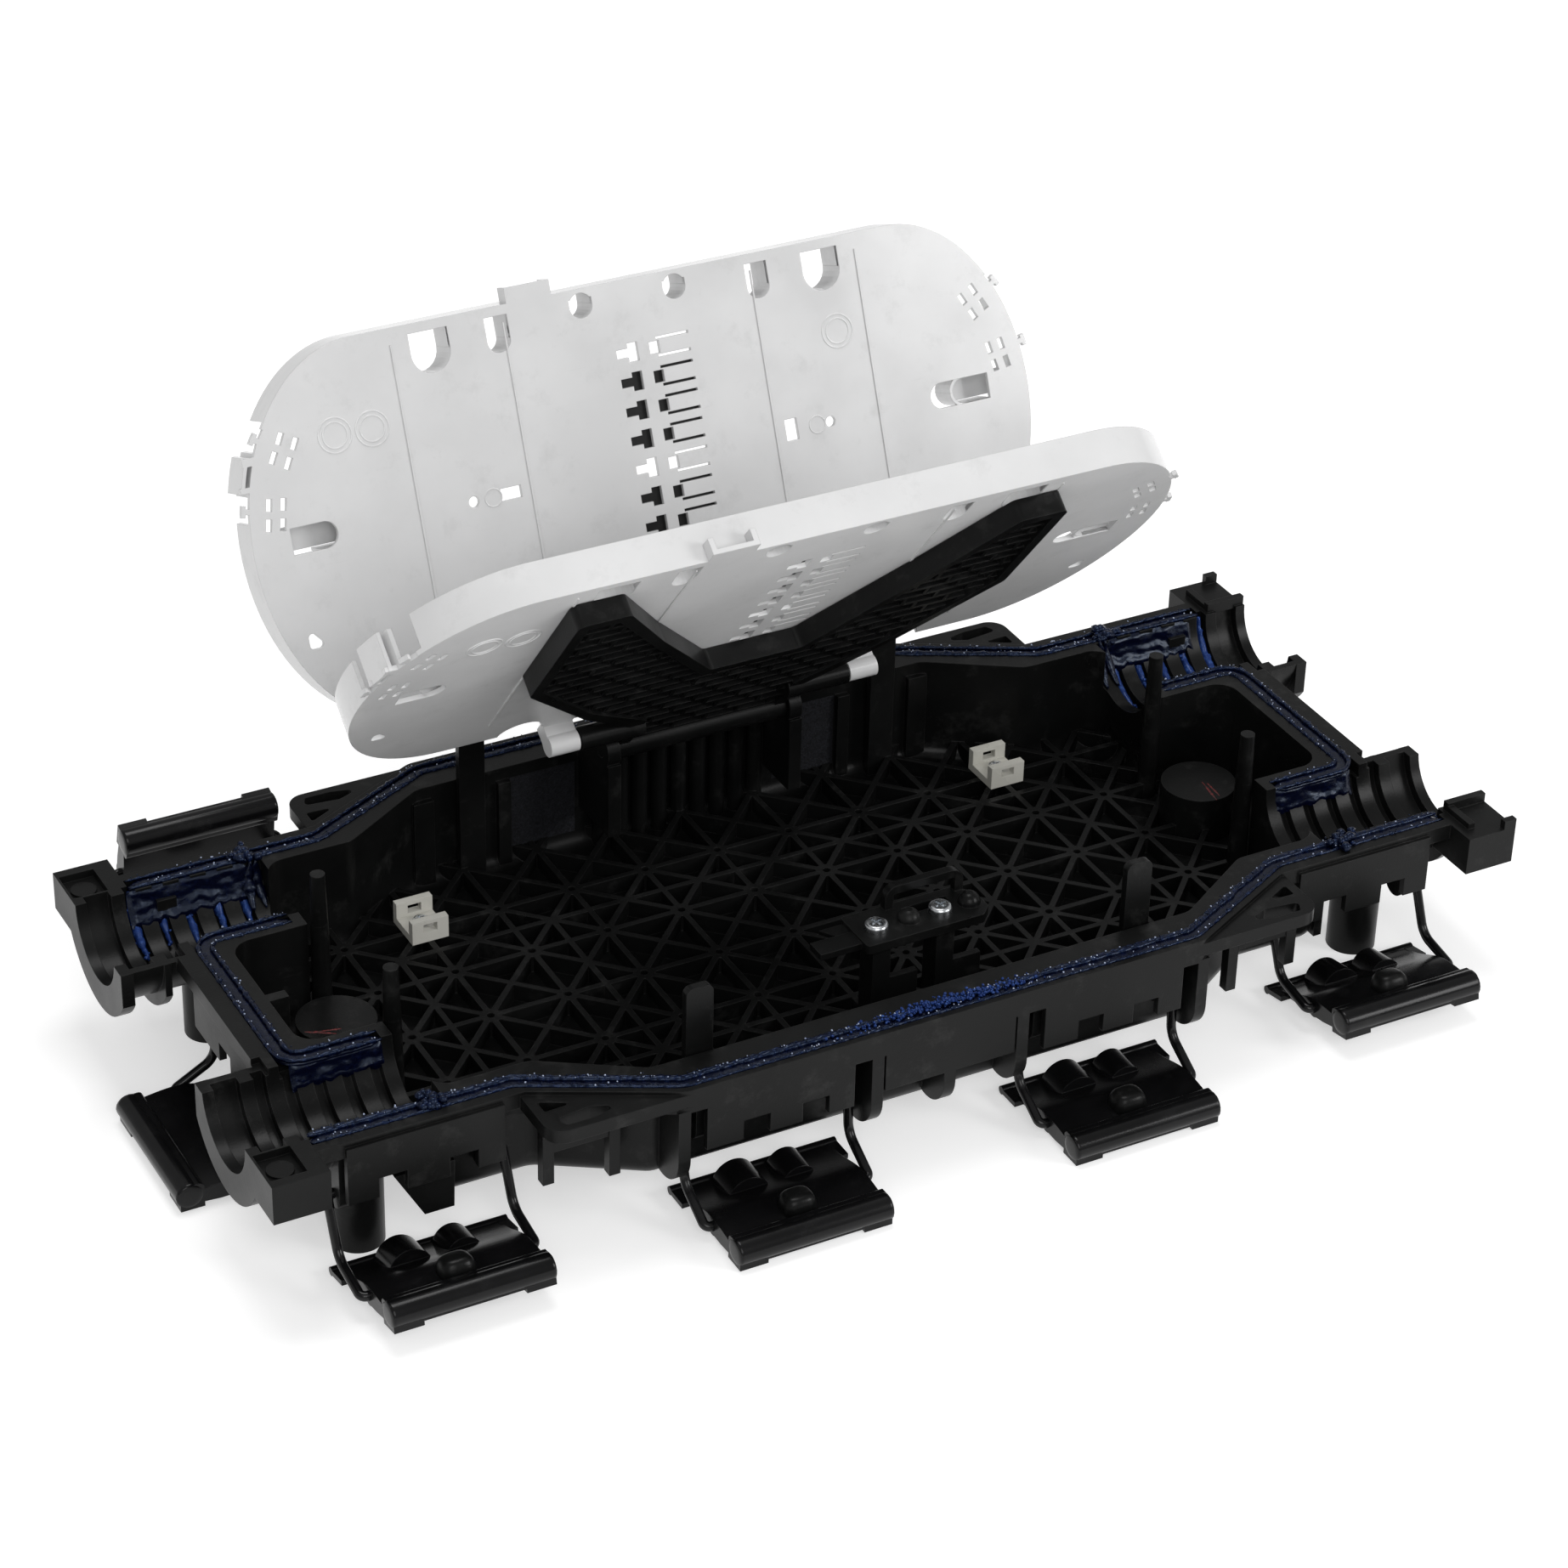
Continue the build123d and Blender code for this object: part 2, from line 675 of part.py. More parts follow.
def clamp_plate():
    """The clamp bracket: a plate with a tongue, two domes and a raised loop."""
    top = rim_height - clamp_drop
    low = top - clamp_thickness
    x0, x1 = clamp_x
    y0, y1 = clamp_y
    plate = prism([(x0, y0), (x1 - 4, y0), (x1, y0 + 4), (x1, y1 - 6), (x1 - 6, y1), (x0, y1)], low, top, 1.5)
    tongue = box((x0 - tongue_length, x0 + 1), (y0 + 4, y0 + 4 + tongue_width), (low, top - 1))
    wing = prism([(x0 - 9, y1 - 1.5), (x0 + 1, y1 - 1.5), (x0 + 1, y0 + 11), (x0 - 4, y0 + 11)], low, low + 1.6)
    plate += [tongue, wing]
    loop_y = (y1 - loop_bar, y1)
    frame = box(loop_x, loop_y, (top - 0.5, top + loop_rise))
    frame = fillet(frame.edges().filter_by(Axis.Y).group_by(Axis.Z)[-1], 5.0)
    frame -= box((loop_x[0] + loop_bar, loop_x[1] - loop_bar), (y1 - loop_bar - 1, y1 + 1),
                 (top - 1, top + loop_rise - loop_bar))
    plate += frame
    for x in clamp_dome_x:
        plate += Pos(x, clamp_screw_y, top) * (Sphere(4.2) & Pos(0, 0, 2) * Box(10, 10, 4))
    plate -= box((loop_x[0] + 6, loop_x[1] - 8), (y1 - 8.5, y1 - loop_bar - 1), (low - 1, top + 1))
    for x in clamp_screw_x:
        plate -= post(x, clamp_screw_y, low - 1, top + 1, clamp_screw_radius + 0.2)
    return plate


def clamp_screw(x):
    """One of the zinc screws that hold the clamp bracket."""
    seat = rim_height - clamp_drop
    return screw(x, clamp_screw_y, seat, clamp_head_radius, clamp_head_height,
                 clamp_screw_radius - 0.05, clamp_thickness + 9)


# Latches

def latch_list():
    """Every latch: its name, place, way out and resting angles."""
    latches = []

    def add(name, x, y, z, turn, bail, lever, stem):
        latches.append({"name": name, "x": x, "y": y, "z": z, "turn": turn,
                        "bail": bail, "lever": lever, "stem": stem})

    side_stem = flange_bottom + 1 - side_hinge_z
    port_stem = flange_bottom + 4 - port_hinge_z
    for sy, place in ((-1, "front"), (1, "rear")):
        turn = 0 if sy < 0 else 180
        for k, x in enumerate((-port_latch_x, -side_latch_x, side_latch_x, port_latch_x)):
            near_port = abs(x) == port_latch_x
            y = sy * (port_hinge_y if near_port else side_hinge_y)
            z = port_hinge_z if near_port else side_hinge_z
            bail, lever = (23.0, 21.0) if near_port else (4.0, 29.0)
            if place == "rear" and k == 0:
                bail, lever = 80.0, 59.0
            add(f"{place}_latch_{k + 1}", x, y, z, turn, bail, lever, port_stem if near_port else side_stem)
    end_stem = flange_bottom + 1 - side_hinge_z
    add("left_latch", -end_hinge_x, 0, side_hinge_z, -90, 4.0, 29.0, end_stem)
    add("right_latch", end_hinge_x, 0, side_hinge_z, 90, 4.0, 29.0, end_stem)
    return latches


LATCHES = latch_list()


def latch_frame(latch):
    """A latch's own frame on the shell: its hinge along X and its way out along -Y."""
    return Pos(latch["x"], latch["y"], latch["z"]) * Rot(0, 0, latch["turn"])


def swing(angle, out, up):
    """A point of the hanging bail, turned outwards and up by an angle."""
    a = radians(angle)
    return out * cos(a) - up * sin(a), up * cos(a) + out * sin(a)


def bail_points(latch):
    """The bail's kink and crossbar, as distances out and up from its hinge."""
    kink = (0.0, -bail_upper)
    turn = radians(bail_kink)
    bar = (bail_lower * sin(turn), -bail_upper - bail_lower * cos(turn))
    return swing(latch["bail"], *kink), swing(latch["bail"], *bar)


def bail(latch):
    """The kinked wire bail: pins in the lugs, two legs and a crossbar."""
    kink, bar = bail_points(latch)
    inner = bail_half_width - wire_radius - lug_gap - bail_pin
    points = [(-inner, 0, 0), (-bail_half_width, 0, 0), (-bail_half_width, -kink[0], kink[1]),
              (-bail_half_width, -bar[0], bar[1]), (bail_half_width, -bar[0], bar[1]),
              (bail_half_width, -kink[0], kink[1]), (bail_half_width, 0, 0), (inner, 0, 0)]
    radii = [wire_radius * 1.3, bail_bend * 2, wire_radius * 1.3,
             wire_radius * 1.3, bail_bend * 2, wire_radius * 1.3]
    path = FilletPolyline(*points, radius=radii)
    start = Plane(origin=points[0], z_dir=(-1, 0, 0))
    wire = sweep(start * Circle(wire_radius), path=path)
    return latch_frame(latch) * wire


def lever(latch):
    """The lever: a curved plate with a barrel, a thick bar with two pads, wings and finger lobes."""
    length = 2 * lever_half_length
    bar = Pos(0, -lever_bar_reach, lever_bar_rise) * Box(length, lever_bar_width, lever_bar_height)
    for s in SIDES:
        x = s * (lever_half_length - lever_pad_length / 2)
        low = lever_bar_rise - (lever_bar_height + lever_pad_drop) / 2
        bar += Pos(x, -lever_bar_reach, low) * Box(lever_pad_length, lever_bar_width, lever_pad_drop)
    front = bar.edges().filter_by(Axis.X).group_by(Axis.Y)[0]
    bar = fillet(front.sort_by(Axis.Z)[-1], 2.6)
    bar = fillet(bar.edges().filter_by(Axis.X).group_by(Axis.Z)[-1], 1.8)
    solid = bar + Rot(0, 90, 0) * Cylinder(lever_barrel, length)
    half = lever_plate / 2
    tail = lever_tail_reach
    upper = Spline((-lever_bar_reach + 2, 2.0), (-6, 3.2), (2, 3.4), (12, 0.9), (tail, -half + 0.4))
    lower = Polyline((tail, -half + 0.4), (tail - 1, -half - 1.6), (14, -2.0), (2, -3.0), (-6, -3.2),
                     (-lever_bar_reach + 2, -2.6), (-lever_bar_reach + 2, 2.0))
    solid += extrude(Plane.YZ * make_face([upper, lower]), lever_half_length, both=True)
    solid += Pos(0, tail - 0.6, -1.8) * Rot(0, 90, 0) * Cylinder(lever_plate / 2 + 0.3, length + 2 * lever_wing)
    for s in SIDES:
        wing = Pos(s * (lever_half_length + lever_wing / 2 - 0.5), tail - 5.5, -1.9) * Box(lever_wing + 1, 9, 1.9)
        solid += wing
    for x, size in ((-9, 1.0), (10, 0.82)):
        r = lever_lobe_radius * size
        disc = Pos(x, tail - 9, -2.4) * Rot(90, 0, 0) * Cylinder(r, 12)
        solid += disc & Pos(x, tail - 9, 3.4) * Box(3 * r, 12, 10)
    bump = Pos(0, -4.5, 1.5) * Rot(0, 90, 0) * Cylinder(lever_bump_radius, 15)
    ball = Pos(0, -4.5, 1.5) * Sphere(lever_bump_radius + 2)
    solid += (bump & ball) & Pos(0, -4.5, 6) * Box(20, 16, 12)
    solid -= Rot(0, 90, 0) * Cylinder(wire_radius + running_gap, length + 2)
    bar_at = bail_points(latch)[1]
    tilt = latch["bail"] + latch["lever"] - (90 - bail_kink)
    return latch_frame(latch) * Pos(0, -bar_at[0], bar_at[1]) * Rot(-tilt, 0, 0) * solid


# Tray stack: a plane set along the tray, X along the closure and Y to the free edge

def tray_plane(y, z, angle):
    """The frame of a piece that is raised by an angle about a hinge at y and z."""
    return Pos(0, y, z) * Rot(-angle, 0, 0) * Rot(0, 0, 180)


def carrier_frame():
    return tray_plane(hinge_y, hinge_z, carrier_angle) * Pos(0, tray_reach, tray_lift)


def rear_tray_frame():
    back = tray_half_y + tray_pin_back
    pin_up = tray_pitch - tray_pin_drop
    pin = Pos(0, -back, pin_up)
    return carrier_frame() * pin * Rot(tray_angle, 0, 0) * Pos(0, back, tray_pin_drop)


def stadium(grow=0.0):
    """The tray outline: straight long edges and half-oval ends."""
    ends = [Pos(s * tray_straight_x, 0) * Ellipse(tray_end_x + grow, tray_half_y + grow) for s in SIDES]
    return Rectangle(2 * tray_straight_x, 2 * (tray_half_y + grow)) + ends


def carrier_outline(shrink=0.0):
    """The carrier plate: a narrow hinge end that spreads into two arms."""
    s = shrink
    half = [(18 + 0.4 * s, -24 - s), (50 + 0.4 * s, 20 - s), (74 + 0.6 * s, 57 - 1.1 * s),
            (93 - s, 57 - 1.1 * s), (93 - s, -5 + 0.4 * s), (60 - 0.4 * s, -46 + s),
            (hinge_half_width - s, -70 + s), (hinge_half_width - s, -tray_reach + (s if s else 0))]
    return half + [(-x, y) for x, y in reversed(half)]


def tray_carrier():
    """The carrier: a smooth top skin and edge band over a waffle of ribs, with its hinge barrel."""
    low = -carrier_thickness - 0.2
    outline = make_face(FilletPolyline(*carrier_outline(), radius=3.0, close=True))
    inner = make_face(Polyline(*carrier_outline(carrier_edge), close=True))
    plate = Pos(0, 0, low) * extrude(outline, carrier_thickness)
    plate -= Pos(0, 0, low) * extrude(inner, carrier_thickness - carrier_skin)
    bars = []
    rows = int(150 / carrier_cell_y)
    for k in range(rows):
        y = -tray_reach + 6 + k * carrier_cell_y
        bars.append(Pos(0, y) * Rectangle(200, carrier_rib))
        shift = carrier_cell_x / 2 * (k % 2)
        for i in range(-7, 8):
            bars.append(Pos(i * carrier_cell_x + shift, y + carrier_cell_y / 2) * Rectangle(carrier_rib, carrier_cell_y))
    waffle = (Sketch() + bars) & inner
    plate += Pos(0, 0, low + 1) * extrude(waffle, carrier_thickness - carrier_skin)
    pin_y = -(tray_half_y + tray_pin_back)
    for s in SIDES:
        inner_x, outer_x = s * (hinge_half_width - 5), s * tray_barrel_x[1]
        plate += rod_x(tray_barrel_radius, inner_x, outer_x, pin_y, -tray_pin_drop)
        plate -= rod_x(tray_pin_radius + running_gap, s * (tray_barrel_x[0] + 1), outer_x + s, pin_y, -tray_pin_drop)
    plate += rod_x(hinge_barrel_radius, -hinge_half_width, hinge_half_width, -tray_reach, -tray_lift)
    reach = hinge_half_width + 0.5 + hinge_lug
    plate += rod_x(hinge_pin_radius, -reach, reach, -tray_reach, -tray_lift)
    return carrier_frame() * plate


def splice_openings():
    """Rows of T-shaped openings and fingered slots for the splice holders."""
    cuts = []
    for k in range(splice_rows):
        y = splice_first - k * splice_pitch
        cuts.append(box((1, 8), (y - 1.6, y + 1.6), (-1, tray_floor + 1)))
        cuts.append(box((-0.5, 3.5), (y - 3.4, y + 3.4), (-1, tray_floor + 1)))
        cuts.append(box((-9, -5), (y - 2.2, y + 2.2), (-1, tray_floor + 1)))
        for s in SIDES:
            cuts.append(box((-21, -8), (y + s * 3.2 - 0.5, y + s * 3.2 + 0.5), (-1, tray_floor + 1)))
    return cuts


def edge_openings():
    """U-shaped notches along the free edge of the tray's floor."""
    cuts = []
    for x, width, depth in ((18.5, 9, 7), (51.5, 9, 13), (77.5, 15, 15)):
        for s in SIDES:
            y1 = tray_half_y - 3.5
            y0 = y1 - depth + width / 2
            cuts.append(box((s * x - width / 2, s * x + width / 2), (y0, y1), (-1, tray_floor + 1)))
            cuts.append(post(s * x, y0, -1, tray_floor + 1, width / 2))
    return cuts


def end_openings():
    """Latch windows, tie holes, drops and small round openings near both ends of the tray."""
    cuts = []
    for s, start, end in ((1, 128, 140.5), (-1, 118.5, 138.5)):
        cuts.append(box((s * start, s * end), (-2.5, 7.0), (-1, tray_floor + 1)))
        cuts.append(post(s * start, 2.25, -1, tray_floor + 1, 4.75))
    for s in SIDES:
        for x, y, turn in tie_slots:
            cuts.append(Pos(s * x, y, 0) * Rot(0, 0, s * turn) * Box(tie_slot_width, tie_slot_length, 6))
        cuts.append(prism([(s * 134, -36), (s * 141, -36), (s * 141, -28)], -1, tray_floor + 1, 1.5))
        cuts.append(post(s * 71.5, 2, -1, tray_floor + 1, 2.0))
    cuts.append(box((53, 61), (0, 4.4), (-1, tray_floor + 1)))
    cuts.append(box((-58, -53), (-1.8, 6.2), (-1, tray_floor + 1)))
    return cuts


def tray_shape():
    """One splice tray: floor, rim, inner step, catch, end hooks, hinge arms and barrels."""
    outer = stadium()
    inner = stadium(-tray_rim_wall)
    tray = extrude(outer, tray_rim) - Pos(0, 0, tray_floor) * extrude(inner, tray_rim)
    gap_y = (-tray_half_y - 1, -tray_half_y + tray_rim_wall + 0.2)
    tray -= box((-30, 30), gap_y, (tray_floor, tray_rim + 1))
    for s in SIDES:
        for x, y0, y1 in ((139, 35.0, 45.0), (149, 11.0, 20.5)):
            tray -= box((s * x, s * 162), (y0, y1), (tray_floor, tray_rim + 1))
        tray -= Pos(s * 147.4, 43.0, 0) * Rot(0, 0, s * 35) * Box(7, 3.6, 6)
        for x, y, turn in ((145.6, 38.6, 35), (153.4, 15.6, 12)):
            anchor = Pos(0, 0, 0.9) * Box(6.5, 2.0, 1.8) + Pos(2.4 * s, 0, 0.9) * Box(1.6, 4.2, 1.8)
            tray += Pos(s * x, y, 0) * Rot(0, 0, s * turn) * anchor
    wing = extrude(stadium(3.0) - stadium(1.6), tray_rim) & box((140, 165), (22, 34), (0, tray_rim))
    wing += box((151.0, 155.5), (22, 24), (0, tray_floor))
    tray += wing + box((146.5, 153.0), (31, 33.9), (0, tray_floor))
    for s in SIDES:
        tray -= post(s * 76, -tray_half_y, -1, 5, 8.5)
    tray -= splice_openings() + edge_openings() + end_openings()
    catch = box((29, 46.5), (tray_half_y - 1, tray_half_y + 5.5), (0, 1.8))
    for x in (30, 45.5):
        catch += box((x - 1, x + 1), (tray_half_y - 1, tray_half_y + 5.5), (0, 6))
    tray += catch
    for x in (-92, -49, 49, 92):
        tray += box((x - 0.5, x + 0.5), (-tray_half_y + 2, tray_half_y - 18), (tray_floor - 0.3, tray_floor + 0.9))
    for s in SIDES:
        drum = post(s * 92, 0, tray_floor - 0.3, tray_rim - 4, 30) - post(s * 92, 0, tray_floor - 1, tray_rim, 28.4)
        tray += drum & box((s * 60, s * 100), (-31, 31), (0, tray_rim))
    pin_y = -(tray_half_y + tray_pin_back)
    for s in SIDES:
        x0, x1 = (s * x for x in tray_barrel_x)
        up = tray_pitch - tray_pin_drop
        barrel = rod_x(tray_barrel_radius, x0, x1, pin_y, up)
        barrel += box((x0, x1), (pin_y, -tray_half_y + 0.5), (up - 3, up + 2))
        barrel -= rod_x(tray_pin_radius + running_gap, x0 - s, x1 + s, pin_y, up)
        tray += barrel
        a0, a1 = (s * x for x in tray_arm_x)
        arm = rod_x(tray_barrel_radius - 0.4, a0, a1, pin_y, -tray_pin_drop)
        arm += box((a0, a1), (pin_y - 3.4, pin_y + 3), (-tray_pin_drop, tray_floor))
        arm += box((a0, a1), (pin_y - 3.4, -tray_half_y + 1), (0, tray_floor))
        arm += rod_x(tray_pin_radius, s * (tray_barrel_x[0] + 1.5), a0, pin_y, -tray_pin_drop)
        tray += arm
    return tray


def splice_holder(group):
    """A rubber comb that grips splice sleeves, seated on the tray floor over three rows."""
    first = splice_first - (1 + group * 4) * splice_pitch
    last = first - (splice_rows_per_holder - 1) * splice_pitch
    low = tray_floor
    body = box((-26, 22), (last - 4.6, first + 4.6), (low, low + 2.0))
    for k in range(splice_rows_per_holder + 1):
        y = first + splice_pitch / 2 - k * splice_pitch
        for x in (-23, -2, 19):
            body += box((x - 2.5, x + 2.5), (max(y - 1.1, last - 4.6), min(y + 1.1, first + 4.6)), (low + 1.5, low + 8))
    return body


def write(name, solid):
    """Write one node as a STEP file."""
    shape = solid if isinstance(solid, (Part, Compound, Solid)) else Part(solid)
    shape.label = name
    export_step(shape, f"parts/{name}.step")


def main():
    os.makedirs("parts", exist_ok=True)
    write("base_shell", base_shell())
    write("gel_front", long_gel(-1))
    write("gel_rear", long_gel(1))
    write("gel_left_end", end_gel(-1))
    write("gel_right_end", end_gel(1))
    for sx, side in ((-1, "left"), (1, "right")):
        write(f"tie_mount_{side}", tie_mount(sx))
        write(f"tie_screw_{side}", tie_screw(sx))
    write("clamp_plate", clamp_plate())
    for x, side in zip(clamp_screw_x, ("left", "right")):
        write(f"clamp_screw_{side}", clamp_screw(x))
    write("tray_carrier", tray_carrier())
    for name, frame in (("front", carrier_frame()), ("rear", rear_tray_frame())):
        write(f"{name}_tray", frame * tray_shape())
        for group in (0, 1):
            write(f"{name}_splice_holder_{group + 1}", frame * splice_holder(group))
    for latch in LATCHES:
        write(f"{latch['name']}_bail", bail(latch))
        write(f"{latch['name']}_lever", lever(latch))


if __name__ == "__main__":
    main()
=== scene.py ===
"""Studio picture of the opened splice closure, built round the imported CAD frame.

The frame's solids get their materials here. The plain gel fillings give way to uneven ones, and
pieces too fine for the CAD are added: gel in the ports, pen marks, wells, ridges, grips and domes.
Shapes are built in millimetres, and Mesh.piece turns them into metres.
"""
import json
import random
from math import cos, pi, radians, sin, tan

import bpy
from mathutils import Matrix, Vector, noise


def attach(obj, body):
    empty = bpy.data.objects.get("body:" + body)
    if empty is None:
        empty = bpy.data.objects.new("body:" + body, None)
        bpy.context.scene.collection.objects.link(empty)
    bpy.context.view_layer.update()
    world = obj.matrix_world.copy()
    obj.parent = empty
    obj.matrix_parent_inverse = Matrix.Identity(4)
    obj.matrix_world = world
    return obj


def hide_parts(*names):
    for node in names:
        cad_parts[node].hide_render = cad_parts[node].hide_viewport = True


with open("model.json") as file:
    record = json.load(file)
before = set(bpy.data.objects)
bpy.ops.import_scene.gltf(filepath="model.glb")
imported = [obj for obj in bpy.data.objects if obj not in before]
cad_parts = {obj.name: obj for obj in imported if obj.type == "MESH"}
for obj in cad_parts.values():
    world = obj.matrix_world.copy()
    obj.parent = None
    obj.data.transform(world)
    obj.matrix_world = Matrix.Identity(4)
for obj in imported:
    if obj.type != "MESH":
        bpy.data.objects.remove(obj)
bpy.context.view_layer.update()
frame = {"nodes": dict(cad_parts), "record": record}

# Camera, from the photo's perspective
PHOTO_SIZE = 1845
FOCAL_PX = 5102.57
PITCH, YAW, ROLL = 0.5608, 0.5016, -0.0260
CAMERA_MM = (-620.64, -1122.33, 832.69)
SENSOR_MM = 36.0
CLIP_END = 100.0

# Sizes of the CAD source that pieces here are placed by
MM = 0.001
RIM = 57.5
FLOOR_TOP = 16.0
WALL_Y = 94.5
HINGE_Y, HINGE_Z = 76.0, 67.5
CARRIER_ANGLE, TRAY_ANGLE = 50.6, 62.2
TRAY_REACH, TRAY_LIFT = 91.6, 6.7
TRAY_HALF_Y, TRAY_PIN_BACK = 68.0, 4.8
TRAY_PITCH, TRAY_PIN_DROP = 16.0, 6.4
TRAY_RIM = 14.0
PORT_Y, PORT_START_X = 58.7, 172.0
PORT_RADIUS, PORT_GROOVE_RADIUS = 18.6, 22.3
PORT_STEP, PORT_LAND, PORT_GROOVES = 10.0, 5.8, 5
PEDESTAL_TOP = RIM - 22.0
BAIL_UPPER, BAIL_LOWER, BAIL_KINK = 22.0, 18.0, 57.0
LEVER_HALF, LEVER_BAR_REACH = 28.5, 16.0

# Noise scales of the moulded plastics, per metre
GRAIN_SCALE, SLOW_SCALE, MARK_SCALE, SCRATCH_SCALE = 1400.0, 26.0, 75.0, 60.0
SCRATCH_STRETCH = (1.0, 14.0, 9.0)

# Socket numbers of the Mix node when it mixes colours
MIX_FACTOR, MIX_A, MIX_B, MIX_RESULT = 0, 6, 7, 2


# Materials

def new_material(name):
    mat = bpy.data.materials.new(name)
    mat.use_nodes = True
    nodes = mat.node_tree.nodes
    return mat, nodes, mat.node_tree.links, nodes["Principled BSDF"]


def coordinates(nodes, links, scale=(1.0, 1.0, 1.0)):
    tex = nodes.new("ShaderNodeTexCoord")
    mapping = nodes.new("ShaderNodeMapping")
    mapping.inputs["Scale"].default_value = scale
    links.new(tex.outputs["Object"], mapping.inputs["Vector"])
    return mapping.outputs["Vector"]


def noise_node(nodes, links, vector, scale, detail=4.0, rough=0.55):
    n = nodes.new("ShaderNodeTexNoise")
    n.inputs["Scale"].default_value = scale
    n.inputs["Detail"].default_value = detail
    n.inputs["Roughness"].default_value = rough
    links.new(vector, n.inputs["Vector"])
    return n.outputs["Fac"]


def ramp(nodes, links, value, low, high, start=0.0, end=1.0):
    r = nodes.new("ShaderNodeMapRange")
    r.inputs["From Min"].default_value = low
    r.inputs["From Max"].default_value = high
    r.inputs["To Min"].default_value = start
    r.inputs["To Max"].default_value = end
    links.new(value, r.inputs["Value"])
    return r.outputs["Result"]


def mix_colour(nodes, links, factor, a, b):
    """Blends two colours, each a plain triple or the output of another node."""
    m = nodes.new("ShaderNodeMix")
    m.data_type = "RGBA"
    for socket, colour in ((m.inputs[MIX_A], a), (m.inputs[MIX_B], b)):
        if isinstance(colour, tuple):
            socket.default_value = (*colour, 1)
        else:
            links.new(colour, socket)
    links.new(factor, m.inputs[MIX_FACTOR])
    return m.outputs[MIX_RESULT]


def soft_edges(nodes, links, radius):
    """The normal over softened edges, and how near to an edge a point is."""
    soft = nodes.new("ShaderNodeBevel")
    soft.samples = 4
    soft.inputs["Radius"].default_value = radius
    flat = nodes.new("ShaderNodeNewGeometry")
    dot = nodes.new("ShaderNodeVectorMath")
    dot.operation = "DOT_PRODUCT"
    links.new(soft.outputs["Normal"], dot.inputs[0])
    links.new(flat.outputs["Normal"], dot.inputs[1])
    return soft.outputs["Normal"], ramp(nodes, links, dot.outputs["Value"], 0.97, 0.80)


def bump(nodes, links, bsdf, heights, normal=None):
    """Stacks bumps, given as (height socket, strength, distance in metres), over a normal."""
    for height, strength, distance in heights:
        b = nodes.new("ShaderNodeBump")
        b.inputs["Strength"].default_value = strength
        b.inputs["Distance"].default_value = distance
        links.new(height, b.inputs["Height"])
        if normal is not None:
            links.new(normal, b.inputs["Normal"])
        normal = b.outputs["Normal"]
    links.new(normal, bsdf.inputs["Normal"])


def moulded(name, dark, light, dust_and_sheen, rough, grain, gloss, coat=0.0, edge=0.0004):
    """Moulded plastic: fine grain, slow changes of gloss, handling marks, faint scratches, and
    edges mixed towards the dust colour, partly wear and on dark plastics a painted highlight.
    """
    mat, nodes, links, bsdf = new_material(name)
    vec = coordinates(nodes, links)
    stretched = coordinates(nodes, links, SCRATCH_STRETCH)
    fine = noise_node(nodes, links, vec, GRAIN_SCALE, detail=2.0)
    slow = noise_node(nodes, links, vec, SLOW_SCALE, detail=5.0)
    marks = noise_node(nodes, links, vec, MARK_SCALE, detail=8.0, rough=0.72)
    streaks = noise_node(nodes, links, stretched, SCRATCH_SCALE, detail=6.0, rough=0.65)
    base = mix_colour(nodes, links, ramp(nodes, links, slow, 0.35, 0.7), dark, light)
    handled = ramp(nodes, links, marks, 0.55, 0.84, 0.0, 0.6)
    base = mix_colour(nodes, links, handled, base, dust_and_sheen)
    scratched = ramp(nodes, links, streaks, 0.66, 0.8, 0.0, 0.3)
    base = mix_colour(nodes, links, scratched, base, dust_and_sheen)
    normal, near_edge = soft_edges(nodes, links, edge)
    # Near edges the colour goes towards the dust colour: partly edge wear, and on the dark
    # plastics a painted highlight along the edges.
    edge_wear_and_highlight = nodes.new("ShaderNodeMath")
    edge_wear_and_highlight.operation = "MULTIPLY"
    links.new(near_edge, edge_wear_and_highlight.inputs[0])
    links.new(ramp(nodes, links, marks, 0.4, 0.7, 0.15, 0.8), edge_wear_and_highlight.inputs[1])
    base = mix_colour(nodes, links, edge_wear_and_highlight.outputs[0], base, dust_and_sheen)
    links.new(base, bsdf.inputs["Base Color"])
    links.new(ramp(nodes, links, slow, 0.3, 0.7, rough - 0.06, rough + 0.08),
              bsdf.inputs["Roughness"])
    bsdf.inputs["Specular IOR Level"].default_value = gloss
    bsdf.inputs["Coat Weight"].default_value = coat
    bsdf.inputs["Coat Roughness"].default_value = 0.14
    heights = [(fine, grain, 0.00012), (slow, 0.06, 0.0006), (streaks, 0.05, 0.0002)]
    bump(nodes, links, bsdf, heights, normal)
    return mat


def gel_material(name, deep, bright, rough=0.24, coat=0.12, tint=(0.35, 0.55, 1.0)):
    """Tacky blue gel: dark and deep, wet on top, with a fine crumbly surface."""
    mat, nodes, links, bsdf = new_material(name)
    vec = coordinates(nodes, links)
    fine = noise_node(nodes, links, vec, 620.0, detail=6.0, rough=0.7)
    coarse = noise_node(nodes, links, vec, 130.0)
    links.new(mix_colour(nodes, links, ramp(nodes, links, fine, 0.5, 0.78), deep, bright),
              bsdf.inputs["Base Color"])
    bsdf.inputs["Roughness"].default_value = rough
    bsdf.inputs["Specular IOR Level"].default_value = 0.3
    bsdf.inputs["Specular Tint"].default_value = (*tint, 1)
    bsdf.inputs["Coat Weight"].default_value = coat
    bsdf.inputs["Coat Roughness"].default_value = 0.08
    bump(nodes, links, bsdf, [(coarse, 0.5, 0.0010), (fine, 0.4, 0.0004)])
    return mat


